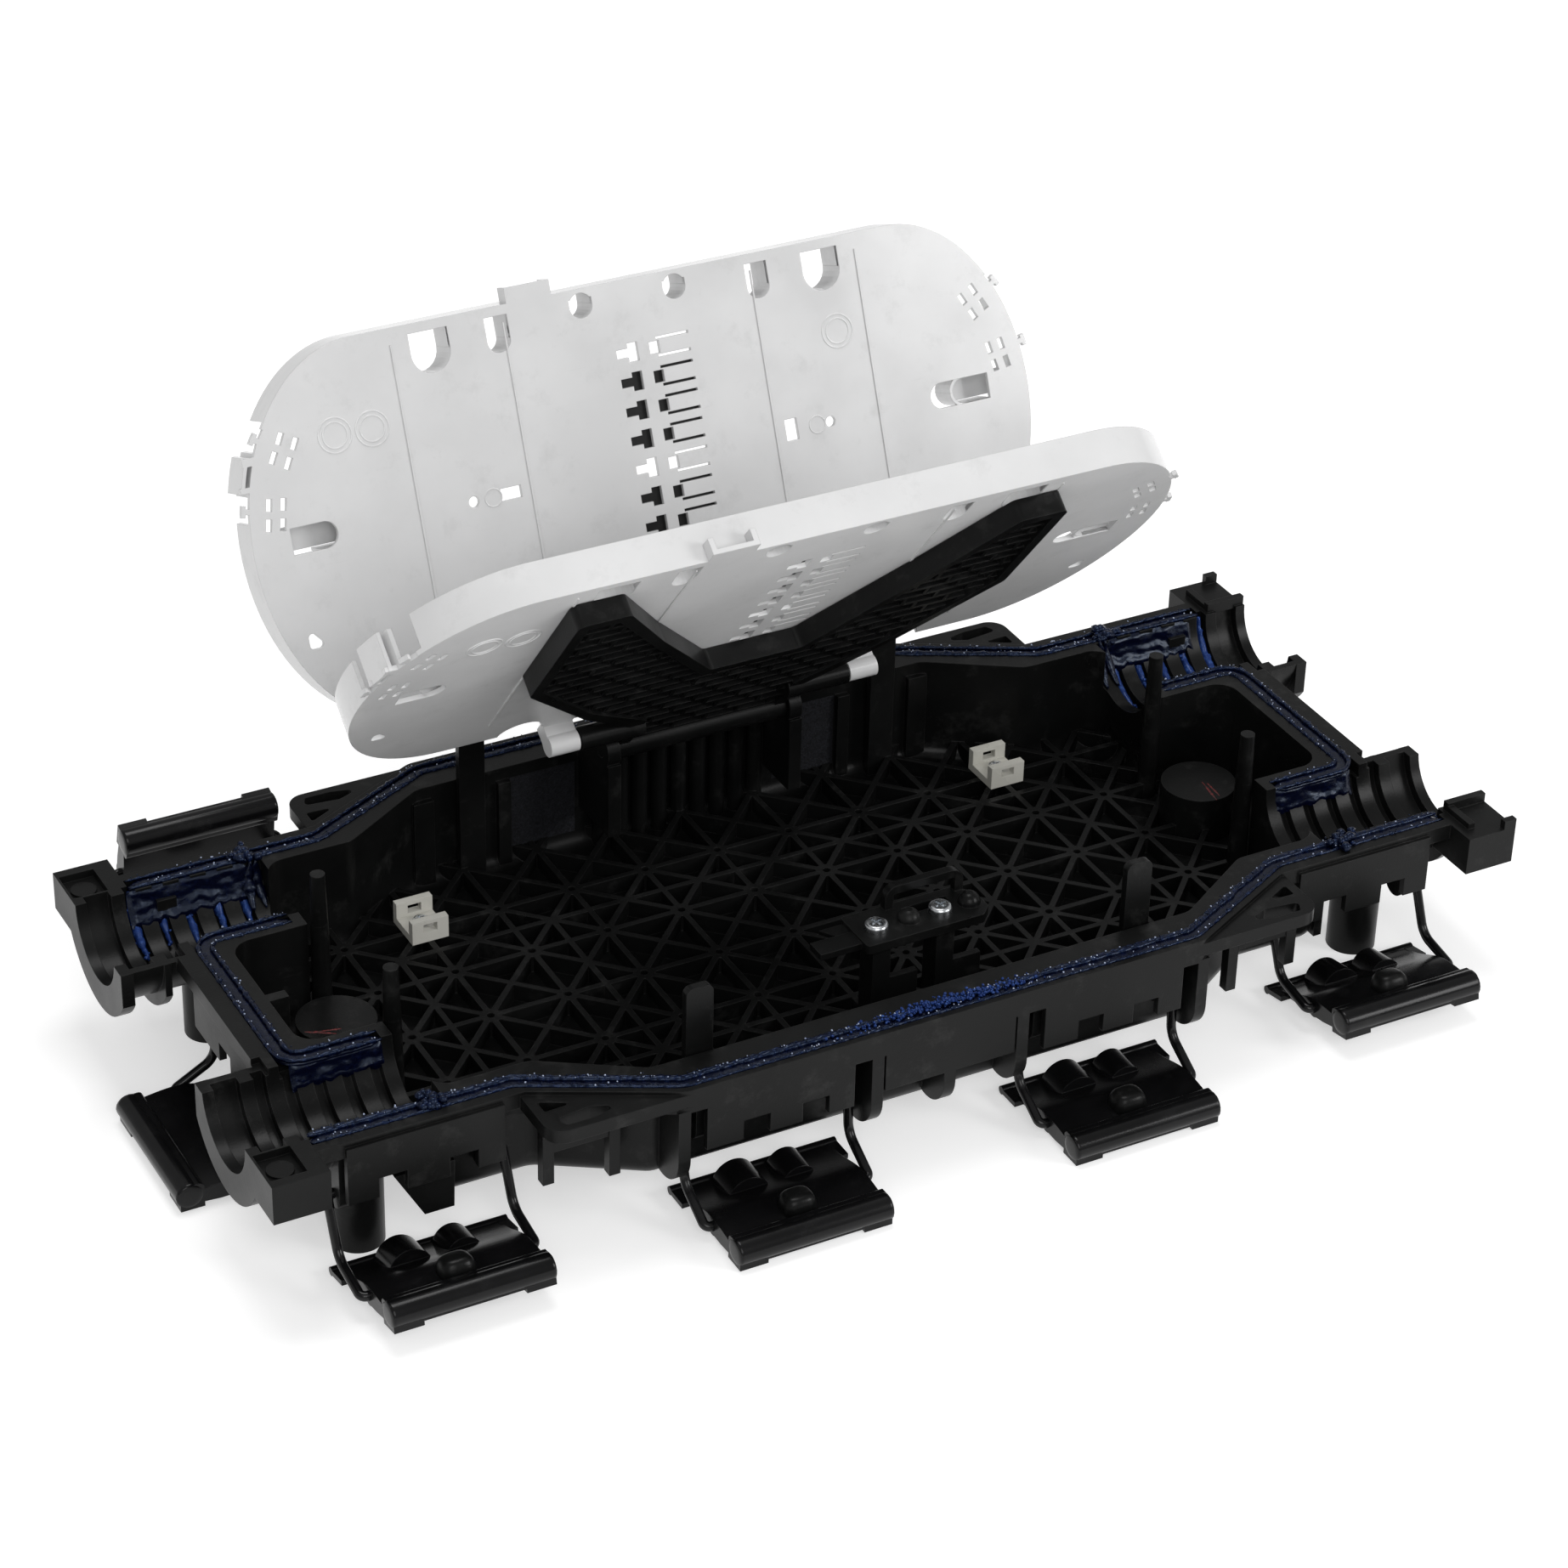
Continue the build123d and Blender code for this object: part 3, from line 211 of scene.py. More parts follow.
def zinc_material():
    """Bright zinc plating with a faint brushed unevenness."""
    mat, nodes, links, bsdf = new_material("zinc_plate")
    slow = noise_node(nodes, links, coordinates(nodes, links), 420.0)
    links.new(mix_colour(nodes, links, slow, (0.50, 0.52, 0.54), (0.78, 0.80, 0.82)),
              bsdf.inputs["Base Color"])
    bsdf.inputs["Metallic"].default_value = 1.0
    links.new(ramp(nodes, links, slow, 0.3, 0.7, 0.18, 0.36), bsdf.inputs["Roughness"])
    bump(nodes, links, bsdf, [(slow, 0.1, 0.0002)])
    return mat


def stipple_material():
    """The spark-eroded panels of the back wall."""
    mat, nodes, links, bsdf = new_material("shell_stipple")
    grain = noise_node(nodes, links, coordinates(nodes, links), 1500.0, detail=3.0, rough=0.7)
    links.new(mix_colour(nodes, links, ramp(nodes, links, grain, 0.4, 0.65),
                         (0.003, 0.003, 0.004), (0.015, 0.016, 0.020)), bsdf.inputs["Base Color"])
    bsdf.inputs["Roughness"].default_value = 0.5
    bsdf.inputs["Specular IOR Level"].default_value = 0.3
    bump(nodes, links, bsdf, [(grain, 0.8, 0.0004)])
    return mat


def pen_material():
    """Red pen on black plastic, with gaps in the stroke."""
    mat, nodes, links, bsdf = new_material("red_pen")
    grain = noise_node(nodes, links, coordinates(nodes, links), 900.0)
    links.new(mix_colour(nodes, links, ramp(nodes, links, grain, 0.35, 0.6),
                         (0.012, 0.006, 0.006), (0.16, 0.012, 0.012)), bsdf.inputs["Base Color"])
    bsdf.inputs["Roughness"].default_value = 0.45
    return mat


# Each dust colour serves the handling marks and scratches, and near edges also a painted highlight
# on the dark plastics.
SLOTS = {
    "shell_plastic": moulded("shell_black", dark=(0.0038, 0.0039, 0.0039),
                             light=(0.0070, 0.0072, 0.0071), dust_and_sheen=(0.042, 0.042, 0.041),
                             rough=0.32, grain=0.26, gloss=0.15),
    "lever_plastic": moulded("lever_black", dark=(0.0028, 0.0028, 0.003),
                             light=(0.005, 0.005, 0.0055), dust_and_sheen=(0.018, 0.018, 0.019),
                             rough=0.22, grain=0.08, gloss=0.17, coat=0.10),
    "black_wire": moulded("wire_black", dark=(0.003, 0.003, 0.0034),
                          light=(0.006, 0.006, 0.0065), dust_and_sheen=(0.02, 0.02, 0.02),
                          rough=0.20, grain=0.10, gloss=0.2, coat=0.15, edge=0.0001),
    "tray_plastic": moulded("tray_grey", dark=(0.645, 0.645, 0.647),
                            light=(0.70, 0.70, 0.702), dust_and_sheen=(0.50, 0.50, 0.50),
                            rough=0.17, grain=0.03, gloss=0.75),
    "black_rubber": moulded("rubber_black", dark=(0.006, 0.006, 0.006),
                            light=(0.012, 0.012, 0.012), dust_and_sheen=(0.03, 0.03, 0.03),
                            rough=0.55, grain=0.3, gloss=0.25),
    "gel": gel_material("gel_navy", (0.0010, 0.0018, 0.009), (0.0065, 0.015, 0.062)),
    "nylon": moulded("nylon_natural", dark=(0.52, 0.51, 0.46), light=(0.62, 0.61, 0.56),
                     dust_and_sheen=(0.46, 0.45, 0.40), rough=0.30, grain=0.06, gloss=0.45),
    "zinc": zinc_material(),
}
GEL = SLOTS["gel"]
GEL_WET = gel_material("gel_wet", (0.0009, 0.0014, 0.008), (0.003, 0.006, 0.03),
                       rough=0.22, coat=0.1, tint=(0.6, 0.75, 1.0))
# Pale droplets whose colour is a painted glint along the wet gel.
GEL_PAINTED_GLINT = gel_material("gel_painted_glint", (0.30, 0.35, 0.48), (0.62, 0.68, 0.80),
                         rough=0.12, coat=0.5, tint=(1.0, 1.0, 1.0))
GEL_BRIGHT = gel_material("gel_blue", (0.010, 0.026, 0.12), (0.05, 0.12, 0.38), rough=0.2)

for part in frame["record"]["subparts"]:
    obj = frame["nodes"][part["node"]]
    mat = SLOTS[part["material_slot"]]
    if obj.material_slots:
        for slot in obj.material_slots:
            slot.material = mat
    else:
        obj.data.materials.append(mat)


# Building of meshes

def angles(count):
    """Evenly spaced angles of a full turn."""
    return [2 * pi * k / count for k in range(count)]


class Mesh:
    """Vertices in millimetres and faces of a piece under construction."""

    DROP_SIDES = 6
    DROP_LEVELS = ((-0.75, 0.35), (-0.35, 0.9), (0.3, 0.9), (0.75, 0.4))

    def __init__(self):
        self.verts = []
        self.faces = []

    def tube(self, rings):
        """Joins rings of equal length into a closed tube."""
        first = len(self.verts)
        n = len(rings[0])
        for ring in rings:
            self.verts += [tuple(p) for p in ring]
        for k in range(len(rings) - 1):
            for j in range(n):
                a = first + k * n + j
                b = first + k * n + (j + 1) % n
                self.faces.append((a, b, b + n, a + n))
        self.faces.append(tuple(first + j for j in reversed(range(n))))
        self.faces.append(tuple(first + (len(rings) - 1) * n + j for j in range(n)))

    def drop(self, centre, radius, rng):
        """A small uneven drop."""
        rings = []
        for level, share in self.DROP_LEVELS:
            ring = []
            for a in angles(self.DROP_SIDES):
                r = radius * share * rng.uniform(0.75, 1.2)
                ring.append(centre + Vector((cos(a) * r, sin(a) * r, level * radius)))
            rings.append(ring)
        self.tube(rings)

    def slab(self, plane, outline, z0, z1):
        """A flat plate of a given outline between two heights over a tray's floor."""
        n = len(outline)
        first = len(self.verts)
        for z in (z0, z1):
            self.verts += [tuple(plane @ Vector((-x, y, z))) for x, y in outline]
        self.faces.append(tuple(range(first, first + n)))
        self.faces.append(tuple(first + n + j for j in reversed(range(n))))
        for j in range(n):
            k = (j + 1) % n
            self.faces.append((first + j, first + n + j, first + n + k, first + k))

    def piece(self, name, material, body="shell"):
        mesh = bpy.data.meshes.new(name)
        mesh.from_pydata([(x * MM, y * MM, z * MM) for x, y, z in self.verts], [], self.faces)
        mesh.update()
        mesh.shade_smooth()
        mesh.materials.append(material)
        made = bpy.data.objects.new(name, mesh)
        bpy.context.scene.collection.objects.link(made)
        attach(made, body)
        return made


# Gel seals

BEAD_STEP = 0.8
SEAL = {"mid_x": 98.0, "bend_x": 148.0, "mid_y": 106.5, "end_y": 81.4, "end_x": 218.5,
        "round": 12.0}
END_SEAL = {"x": 209.0, "y": 38.5, "start_x": 176.0, "round": 8.0}
BASE_DROP, BASE_HEIGHT, BASE_LUMP = 1.5, 1.2, 0.05
BLOB_X, BLOBS = 176.5, 30
DROP_SPREAD = 0.3

# One bead: seed shift, offset outwards, height over the rim, half width, half height,
# lumpiness, points round it and fineness of its lumps.
# Crumbs and droplets: offsets outwards, height over the rim, count and sizes; the droplets are
# pale, a painted glint of the gel.
LONG_GEL = {
    "base": 3.3,
    "beads": ((1, -1.9, -0.2, 1.15, 1.0, 0.5, 10, 1.0),
              (2, -2.7, 0.1, 0.5, 0.6, 0.7, 8, 2.0),
              (3, 2.6, -0.05, 0.6, 0.7, 0.6, 8, 2.0)),
    "crumbs": ((-2.4, -1.4, 2.6), 0.6, 420, (0.14, 0.38)),
    "drops": ((-2.4, -1.6, 2.6), 0.95, 190, (0.16, 0.40)),
}
END_GEL = {
    "base": 3.2,
    "beads": ((-2.5, -2.5, -0.1, 0.75, 0.85, 0.6, 8, 2.0),
              (2.5, 2.5, -0.1, 0.85, 0.85, 0.6, 8, 2.0)),
    "crumbs": ((-2.5, 2.5), 0.5, 150, (0.12, 0.36)),
    "drops": ((-2.5, 2.5), 0.85, 60, (0.16, 0.38)),
}


def rounded_path(points, radius):
    """Points along a polyline with rounded corners, spaced evenly."""
    pts = [Vector(p) for p in points]
    out = [pts[0]]
    for a, b, c in zip(pts, pts[1:], pts[2:]):
        into, away = (b - a).normalized(), (c - b).normalized()
        turn = into.angle(away)
        cut = radius * tan(turn / 2)
        start, end = b - into * cut, b + away * cut
        count = max(3, int(radius * turn / BEAD_STEP))
        out += [((1 - t) ** 2) * start + 2 * t * (1 - t) * b + t * t * end
                for t in (k / count for k in range(count + 1))]
    out.append(pts[-1])
    dense = []
    for a, b in zip(out, out[1:]):
        count = max(1, int((b - a).length / BEAD_STEP))
        dense += [a.lerp(b, k / count) for k in range(count)]
    return dense + [out[-1]]


def strand(mesh, path, width, height, lump, seed, around=10, grain=1.0):
    """A rounded strand of gel along a path of (x, y, z), with an uneven surface."""
    rings = []
    count = len(path)
    for k, p in enumerate(path):
        a, b = path[max(0, k - 1)], path[min(count - 1, k + 1)]
        along = (b - a).normalized()
        side = along.cross(Vector((0, 0, 1)))
        side = side.normalized() if side.length > 0.05 else Vector((0, 1, 0))
        up = side.cross(along).normalized()
        place = p * (0.22 * grain) + Vector((0, 0, seed))
        swell = 1 + lump * noise.noise(place) + 0.6 * lump * noise.noise(place * 4.0)
        sway = 0.45 * lump * width * noise.noise(place * 1.3 + Vector((9, 0, 0)))
        taper = min(1.0, 0.3 + 0.14 * min(k, count - 1 - k))
        ring = []
        for j, t in enumerate(angles(around)):
            spot = p * 1.2 + Vector((0, 0, seed + j * 1.7))
            r = swell * (1 + 0.4 * lump * noise.noise(spot)) * taper
            ring.append(p + side * (sway + width * r * cos(t)) + up * height * r * sin(t))
        rings.append(ring)
    mesh.tube(rings)


def beside(path, offset, z):
    """A flat path moved sideways and set at a height."""
    moved = []
    for k, p in enumerate(path):
        a, b = path[max(0, k - 1)], path[min(len(path) - 1, k + 1)]
        along = (b - a).normalized()
        q = p + Vector((-along.y, along.x)) * offset
        moved.append(Vector((q.x, q.y, z)))
    return moved


def scatter(mesh, path, offsets, z, count, sizes, rng, spread=0.45):
    """Crumbs or droplets along a path."""
    for _ in range(count):
        k = rng.randrange(2, len(path) - 2)
        p = beside(path[k - 1:k + 2], rng.choice(offsets), z)[1]
        p += Vector((rng.gauss(0, spread), rng.gauss(0, spread), rng.uniform(-0.2, 0.8)))
        mesh.drop(p, rng.uniform(*sizes), rng)


def seal(node, path, outward, gel, seed, blobs_y=None):
    """Dresses one gel filling: beads in the CAD node's place, a wet base and pale droplets whose
    colour is a painted glint.
    """
    beads, base, drops = Mesh(), Mesh(), Mesh()
    rng = random.Random(seed)
    strand(base, beside(path, 0, RIM - BASE_DROP), gel["base"], BASE_HEIGHT, BASE_LUMP, seed)
    for shift, offset, rise, width, height, lump, around, grain in gel["beads"]:
        line = beside(path, outward * offset, RIM + rise)
        strand(beads, line, width, height, lump, seed + shift, around, grain)
    offsets, rise, count, sizes = gel["crumbs"]
    scatter(beads, path, [outward * o for o in offsets], RIM + rise, count, sizes, rng)
    offsets, rise, count, sizes = gel["drops"]
    scatter(drops, path, [outward * o for o in offsets], RIM + rise, count, sizes, rng,
            DROP_SPREAD)
    if blobs_y is not None:
        blobs(beads, blobs_y, rng)
    piece = beads.piece(node + "_beads", GEL)
    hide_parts(node)
    base.piece(node + "_base", GEL_WET)
    # The pale droplets: painted glints of the gel.
    drops.piece(node + "_drops", GEL_PAINTED_GLINT)


def blobs(mesh, y, rng):
    """The lumps of gel where a long seal meets the ports."""
    for x in (-BLOB_X, BLOB_X):
        for _ in range(BLOBS):
            p = Vector((x + rng.gauss(0, 2.3), y + rng.gauss(0, 1.9),
                        RIM + rng.uniform(0.2, 2.2)))
            mesh.drop(p, rng.uniform(1.1, 2.3), rng)


def long_seal(side, node, seed):
    """The gel along one long side: a broad inner bead, a dark valley and a thin outer bead."""
    s = SEAL
    corners = ((s["end_x"], s["end_y"]), (s["bend_x"], s["end_y"]), (s["mid_x"], s["mid_y"]))
    points = [(-x, side * y) for x, y in corners] + [(x, side * y) for x, y in reversed(corners)]
    seal(node, rounded_path(points, s["round"]), side, LONG_GEL, seed, side * (s["end_y"] - 1.0))


def end_seal(side, node, seed):
    """The gel over one end bulkhead, with its two returns along the ports."""
    e = END_SEAL
    points = [(side * e["start_x"], e["y"]), (side * e["x"], e["y"]),
              (side * e["x"], -e["y"]), (side * e["start_x"], -e["y"])]
    seal(node, rounded_path(points, e["round"]), 1, END_GEL, seed)


# Gel in the ports

SHEET_STEP, SHEET_TURN = 0.7, 2.0
SHEET_START, SHEET_THICKNESS = 3.0, 1.1
# Two fat strands at a port's inner end: distance from its start, and how far each leans
PORT_COLLARS = ((3.0, 2.5), (1.2, -1.0))
GROOVE_CRUMBS = 9
# Wall sheets of the ports: length and angles below the outer edge, in degrees
WIDE_SHEET, NARROW_SHEET = (46.0, 1, 42), (40.0, 1, 40)
LIP_SHEETS = ((30.0, 1, 20), (34.0, 176, 148))
FAR_SHEET = (34.0, 178, 150)


def port_arc(x, sy, radius, start, stop, steps=16):
    """Points down the wall of a port, between two angles below its outer edge, in degrees."""
    points = []
    for k in range(steps + 1):
        a = radians(start + (stop - start) * k / max(1, steps))
        points.append(Vector((x, sy * (PORT_Y + radius * cos(a)), RIM - radius * sin(a))))
    return points


def leaning(line, lean):
    """A line whose far end is moved along X."""
    return [p + Vector((lean * q / len(line), 0, 0)) for q, p in enumerate(line)]


def sheet(mesh, sx, sy, length, start, stop, seed):
    """A wet, lumpy layer of gel on the wall of a port, between two angles in degrees."""
    along, across = int(length / SHEET_STEP), int(abs(stop - start) / SHEET_TURN)
    first = len(mesh.verts)
    for i in range(along + 1):
        x = sx * (PORT_START_X + SHEET_START + SHEET_STEP * i)
        reach = 1 + 0.18 * noise.noise(Vector((x * 0.3, 0, seed)))
        for j in range(across + 1):
            edge = min(i, along - i, 3) / 3 * min(j, across - j, 2) / 2
            place = Vector((x * 0.16, j * 0.22, seed))
            a = start + (stop - start) * j / across * reach
            lump = 1.0 + 0.6 * noise.noise(place) + 0.15 * noise.noise(place * 4.0)
            radius = PORT_RADIUS + 0.5 - edge * max(0.3, lump) * SHEET_THICKNESS
            mesh.verts.append(tuple(port_arc(x, sy, radius, a, a, 0)[0]))
    row = across + 1
    for i in range(along):
        for j in range(across):
            a = first + i * row + j
            mesh.faces.append((a, a + row, a + row + 1, a + 1))


def port_gel(sx, sy, name, seed, sheets, strip_material, reach):
    """Gel pressed into one port: wet sheets on its walls and strips down its grooves."""
    mesh = Mesh()
    rng = random.Random(seed)
    for k, (length, start, stop) in enumerate(sheets):
        sheet(mesh, sx, sy, length, start, stop, seed + k)
    for inset, tilt in PORT_COLLARS:
        line = port_arc(sx * (PORT_START_X + inset), sy, PORT_RADIUS - 0.6, -2, reach * 0.7)
        strand(mesh, leaning(line, sx * tilt), 1.9, 1.2, 0.6, seed + tilt, 8)
    mesh.piece(name + "_sheet", GEL_WET)
    mesh = Mesh()
    for k in range(PORT_GROOVES):
        x = sx * (PORT_START_X + 5 + k * PORT_STEP + (PORT_STEP - PORT_LAND) / 2)
        line = port_arc(x, sy, PORT_GROOVE_RADIUS - 1.6, 4, reach * rng.uniform(0.8, 1.1), 20)
        line = leaning(line, rng.uniform(-1.0, 1.0))
        strand(mesh, line, 1.5, 1.9, 0.45, seed + k)
        for _ in range(GROOVE_CRUMBS):
            p = line[rng.randrange(4, len(line))]
            p = p + Vector((rng.gauss(0, 0.8), rng.gauss(0, 0.6), rng.uniform(0, 1.2)))
            mesh.drop(p, rng.uniform(0.4, 1.0), rng)
    mesh.piece(name + "_strips", strip_material)


def gel_heap():
    """The brightest part of the front seal, where the gel stands up in crumbs."""
    crumbs, spread_x, spread_y, half_length, height = 520, 17.0, 1.25, 42.0, 2.4
    mesh = Mesh()
    rng = random.Random(31)
    for _ in range(crumbs):
        x = rng.gauss(0, spread_x)
        y = -SEAL["mid_y"] + 1.2 + rng.gauss(0, spread_y)
        z = RIM + rng.uniform(0.0, height) * max(0.15, 1 - abs(x) / half_length)
        mesh.drop(Vector((x, y, z)), rng.uniform(0.3, 0.75), rng)
    mesh.piece("gel_heap", GEL_BRIGHT)


# Marks and mouldings

PEN_STROKES = (("left", (-186.2, 2.7), (-176.8, -3.0)), ("right", (174.5, 4.0), (172.5, -9.0)))

# Notches of the trays' long edges (x, width, depth) and windows at their ends (side, start x)
TRAY_NOTCHES = ((18.5, 9.0, 7.0), (51.5, 9.0, 13.0), (77.5, 15.0, 15.0))
END_WINDOWS = ((1, 128.0), (-1, 118.5))
WINDOW_Y, WINDOW_WIDTH, WINDOW_DEPTH, WINDOW_ROUND = 2.25, 9.5, 11.5, 4.75
GUARD_REACH, GUARD_TIP, GUARD_WIDTH = 22.0, 3.0, 8.6
WELL_WALL, WELL_FLOOR = 1.2, 0.4
TRAY_RIDGES = (-92.0, -49.0, 49.0, 92.0)
RIDGE_FOOT, RIDGE_TOP, RIDGE_DEPTH = 0.6, 0.25, 0.45
BIG_RINGS, BIG_RADII = ((-118, 35.4), (-104, 35.0), (80, 34.0)), (6.2, 4.6)
SMALL_RINGS, SMALL_RADIUS = (-64.0, 66.0), 3.2

PANEL_SPANS = (("left", -67.0, -41.0), ("right", 41.0, 67.0))

# Latches: distances of the hinge rows from the middle, and resting angles (bail, lever)
LATCH_X = (-181.75, -64.25, 64.25, 181.75)
PORT_LATCH_Y, PORT_LATCH_Z, PORT_LATCH_REST = 79.5, 32.0, (23.0, 21.0)
LATCH_Y, LATCH_Z, LATCH_REST = 101.0, 35.5, (4.0, 29.0)
RAISED_REST = (80.0, 59.0)
END_LATCH_X = 207.0

# The grip round a lever's bar: place along its half length and share of its radii
GRIP_PROFILE = ((-1.0, 0.55), (-0.995, 0.85), (-0.98, 1.0), (-0.95, 1.0),
                (0.95, 1.0), (0.98, 1.0), (0.995, 0.85), (1.0, 0.55))
GRIP_HALF, GRIP_Y, GRIP_Z = LEVER_HALF + 0.4, -LEVER_BAR_REACH - 0.7, 0.8
GRIP_RADIUS_Y, GRIP_RADIUS_Z, GRIP_SIDES = 4.9, 4.7, 20
DOME_RADIUS_X, DOME_RADIUS_Y, DOME_RISE = 6.4, 5.4, 6.4
DOME_Y, DOME_Z, DOME_SIDES, DOME_LEVELS = -6.0, 2.2, 24, 10
DOME_SQUARENESS, DOME_SHOULDER, DOME_TIP = 3.2, 0.4, 0.08
DOMELESS = ("left_latch", "rear_latch_1")


def pen_marks():
    """Red pen strokes on the two pedestals."""
    material = pen_material()
    z = PEDESTAL_TOP + 0.02
    for side, start, end in PEN_STROKES:
        mesh = Mesh()
        for shift in (0.0, 1.3):
            a = Vector((start[0] + shift, start[1] - shift, z))
            b = Vector((end[0] + 2 * shift, end[1] + 1.5 * shift, z))
            line = [a.lerp(b, k / 24) for k in range(25)]
            strand(mesh, line, 0.42, 0.05, 0.7, 40 + shift, 8, 3.0)
        mesh.piece("pen_mark_" + side, material)


def tray_plane(y, z, angle):
    turned = Matrix.Rotation(-radians(angle), 4, "X") @ Matrix.Rotation(pi, 4, "Z")
    return Matrix.Translation((0, y, z)) @ turned


def tray_frames():
    """The bodies and planes of the front and the rear tray at rest, as in the CAD source."""
    hinge = tray_plane(HINGE_Y, HINGE_Z, CARRIER_ANGLE)
    front = hinge @ Matrix.Translation((0, TRAY_REACH, TRAY_LIFT))
    back = TRAY_HALF_Y + TRAY_PIN_BACK
    pin = Matrix.Translation((0, -back, TRAY_PITCH - TRAY_PIN_DROP))
    swing = Matrix.Rotation(radians(TRAY_ANGLE), 4, "X")
    rear = front @ pin @ swing @ Matrix.Translation((0, back, TRAY_PIN_DROP))
    return (("front_tray_unit", front), ("rear_tray_unit", rear))


def ring(mesh, plane, x, y, radius, width):
    """A thin raised circle on a tray's underside, at world x and along-tray y."""
    rise, shoulder, sides = 0.22, 0.6, 48
    corners = ((-width, 0.0), (-width * shoulder, -rise), (width * shoulder, -rise), (width, 0.0))
    first = len(mesh.verts)
    for a in angles(sides):
        out = Vector((cos(a), sin(a), 0))
        middle = Vector((-x, y, 0)) + out * radius
        mesh.verts += [tuple(plane @ (middle + out * r + Vector((0, 0, h)))) for r, h in corners]
    n = len(corners)
    for k in range(sides):
        for j in range(n - 1):
            a = first + k * n + j
            b = first + ((k + 1) % sides) * n + j
            mesh.faces.append((a, a + 1, b + 1, b))


def tongue(x, y_root, y_tip, width):
    """A U-shaped line with its round end at the tip."""
    half = width / 2
    turn = 1 if y_tip > y_root else -1
    arc = [(x - half * cos(pi * k / 12), y_tip - turn * half * (1 - sin(pi * k / 12)))
           for k in range(13)]
    return [(x - half, y_root)] + arc + [(x + half, y_root)]


def end_tongue(root, tip, width):
    """A tongue that lies along X, at the height of the end windows."""
    return [(y, x) for x, y in tongue(WINDOW_Y, root, tip, width)]


def well(mesh, plane, inner, outer, depth):
    """A thin wall behind the edge of an opening, between two U-shaped lines."""
    for k in range(len(inner) - 1):
        mesh.slab(plane, [inner[k], inner[k + 1], outer[k + 1], outer[k]], WELL_FLOOR, depth)


def tray_wells():
    """Wells behind the openings, guards in the end windows and thin ridges of both trays."""
    for body, plane in tray_frames():
        mesh = Mesh()
        root = TRAY_HALF_Y - 1.0
        for x, width, depth in TRAY_NOTCHES:
            tip = TRAY_HALF_Y - 3.5 - depth
            for s in (-1, 1):
                well(mesh, plane, tongue(s * x, root, tip, width),
                     tongue(s * x, root, tip - WELL_WALL, width + 2 * WELL_WALL), TRAY_RIM - 0.5)
        for s, start in END_WINDOWS:
            inner, outer = (end_tongue(s * (start + WINDOW_DEPTH),
                                       s * (start - WINDOW_ROUND - grow), WINDOW_WIDTH + 2 * grow)
                            for grow in (0.0, WELL_WALL))
            well(mesh, plane, inner, outer, TRAY_RIM - 2.0)
            guard = end_tongue(s * (start + GUARD_REACH), s * (start - GUARD_TIP), GUARD_WIDTH)
            mesh.slab(plane, guard, TRAY_RIM - 4.0, TRAY_RIM - 2.4)
        for x in TRAY_RIDGES:
            mesh.slab(plane, [(x - RIDGE_FOOT, -52), (x + RIDGE_FOOT, -52),
                              (x + RIDGE_TOP, 62), (x - RIDGE_TOP, 62)], -RIDGE_DEPTH, 0.1)
        made = mesh.piece(body + "_wells", SLOTS["tray_plastic"], body)
        made.data.shade_flat()


def tray_rings():
    """The bare mould rings on both trays."""
    for body, plane in tray_frames():
        mesh = Mesh()
        for x, y in BIG_RINGS:
            for radius in BIG_RADII:
                ring(mesh, plane, x, y, radius, 0.35)
        for x in SMALL_RINGS:
            ring(mesh, plane, x, 2, SMALL_RADIUS, 0.3)
        made = mesh.piece(body + "_rings", SLOTS["tray_plastic"], body)


def stipple_panels():
    """Fine-grained panels on the back wall, between the pilasters."""
    material = stipple_material()
    front_y, back_y = WALL_Y - 0.12, WALL_Y + 0.3
    z0, z1 = FLOOR_TOP + 6.5, RIM - 5.0
    for name, x0, x1 in PANEL_SPANS:
        mesh = Mesh()
        mesh.verts = [(x, y, z) for y in (front_y, back_y)
                      for x, z in ((x0, z0), (x1, z0), (x1, z1), (x0, z1))]
        mesh.faces = [(0, 1, 2, 3), (4, 7, 6, 5), (0, 4, 5, 1), (1, 5, 6, 2), (2, 6, 7, 3),
                      (3, 7, 4, 0)]
        panel = mesh.piece("wall_panel_" + name, material)
        panel.data.shade_flat()


def latch_table():
    """Every latch's name, hinge place, turn and resting angles of bail and lever."""
    rows = []
    for place, sy, turn in (("front", -1, 0), ("rear", 1, 180)):
        for k, x in enumerate(LATCH_X):
            if k in (0, 3):
                y, z, rest = PORT_LATCH_Y, PORT_LATCH_Z, PORT_LATCH_REST
            else:
                y, z, rest = LATCH_Y, LATCH_Z, LATCH_REST
            if place == "rear" and k == 0:
                rest = RAISED_REST
            rows.append((f"{place}_latch_{k + 1}", (x, sy * y, z), turn, *rest))
    rows.append(("left_latch", (-END_LATCH_X, 0, LATCH_Z), -90, *LATCH_REST))
    rows.append(("right_latch", (END_LATCH_X, 0, LATCH_Z), 90, *LATCH_REST))
    return rows


def lever_frame(place, turn, bail, lever):
    """The lever's own frame: the bail's crossbar along X and the lever's bar towards -Y."""
    kink, swing = radians(BAIL_KINK), radians(bail)
    out, up = BAIL_LOWER * sin(kink), -BAIL_UPPER - BAIL_LOWER * cos(kink)
    bar = (out * cos(swing) - up * sin(swing), up * cos(swing) + out * sin(swing))
    tilt = bail + lever - (90 - BAIL_KINK)
    turned = Matrix.Translation(place) @ Matrix.Rotation(radians(turn), 4, "Z")
    moved = turned @ Matrix.Translation((0, -bar[0], bar[1]))
    return moved @ Matrix.Rotation(-radians(tilt), 4, "X")


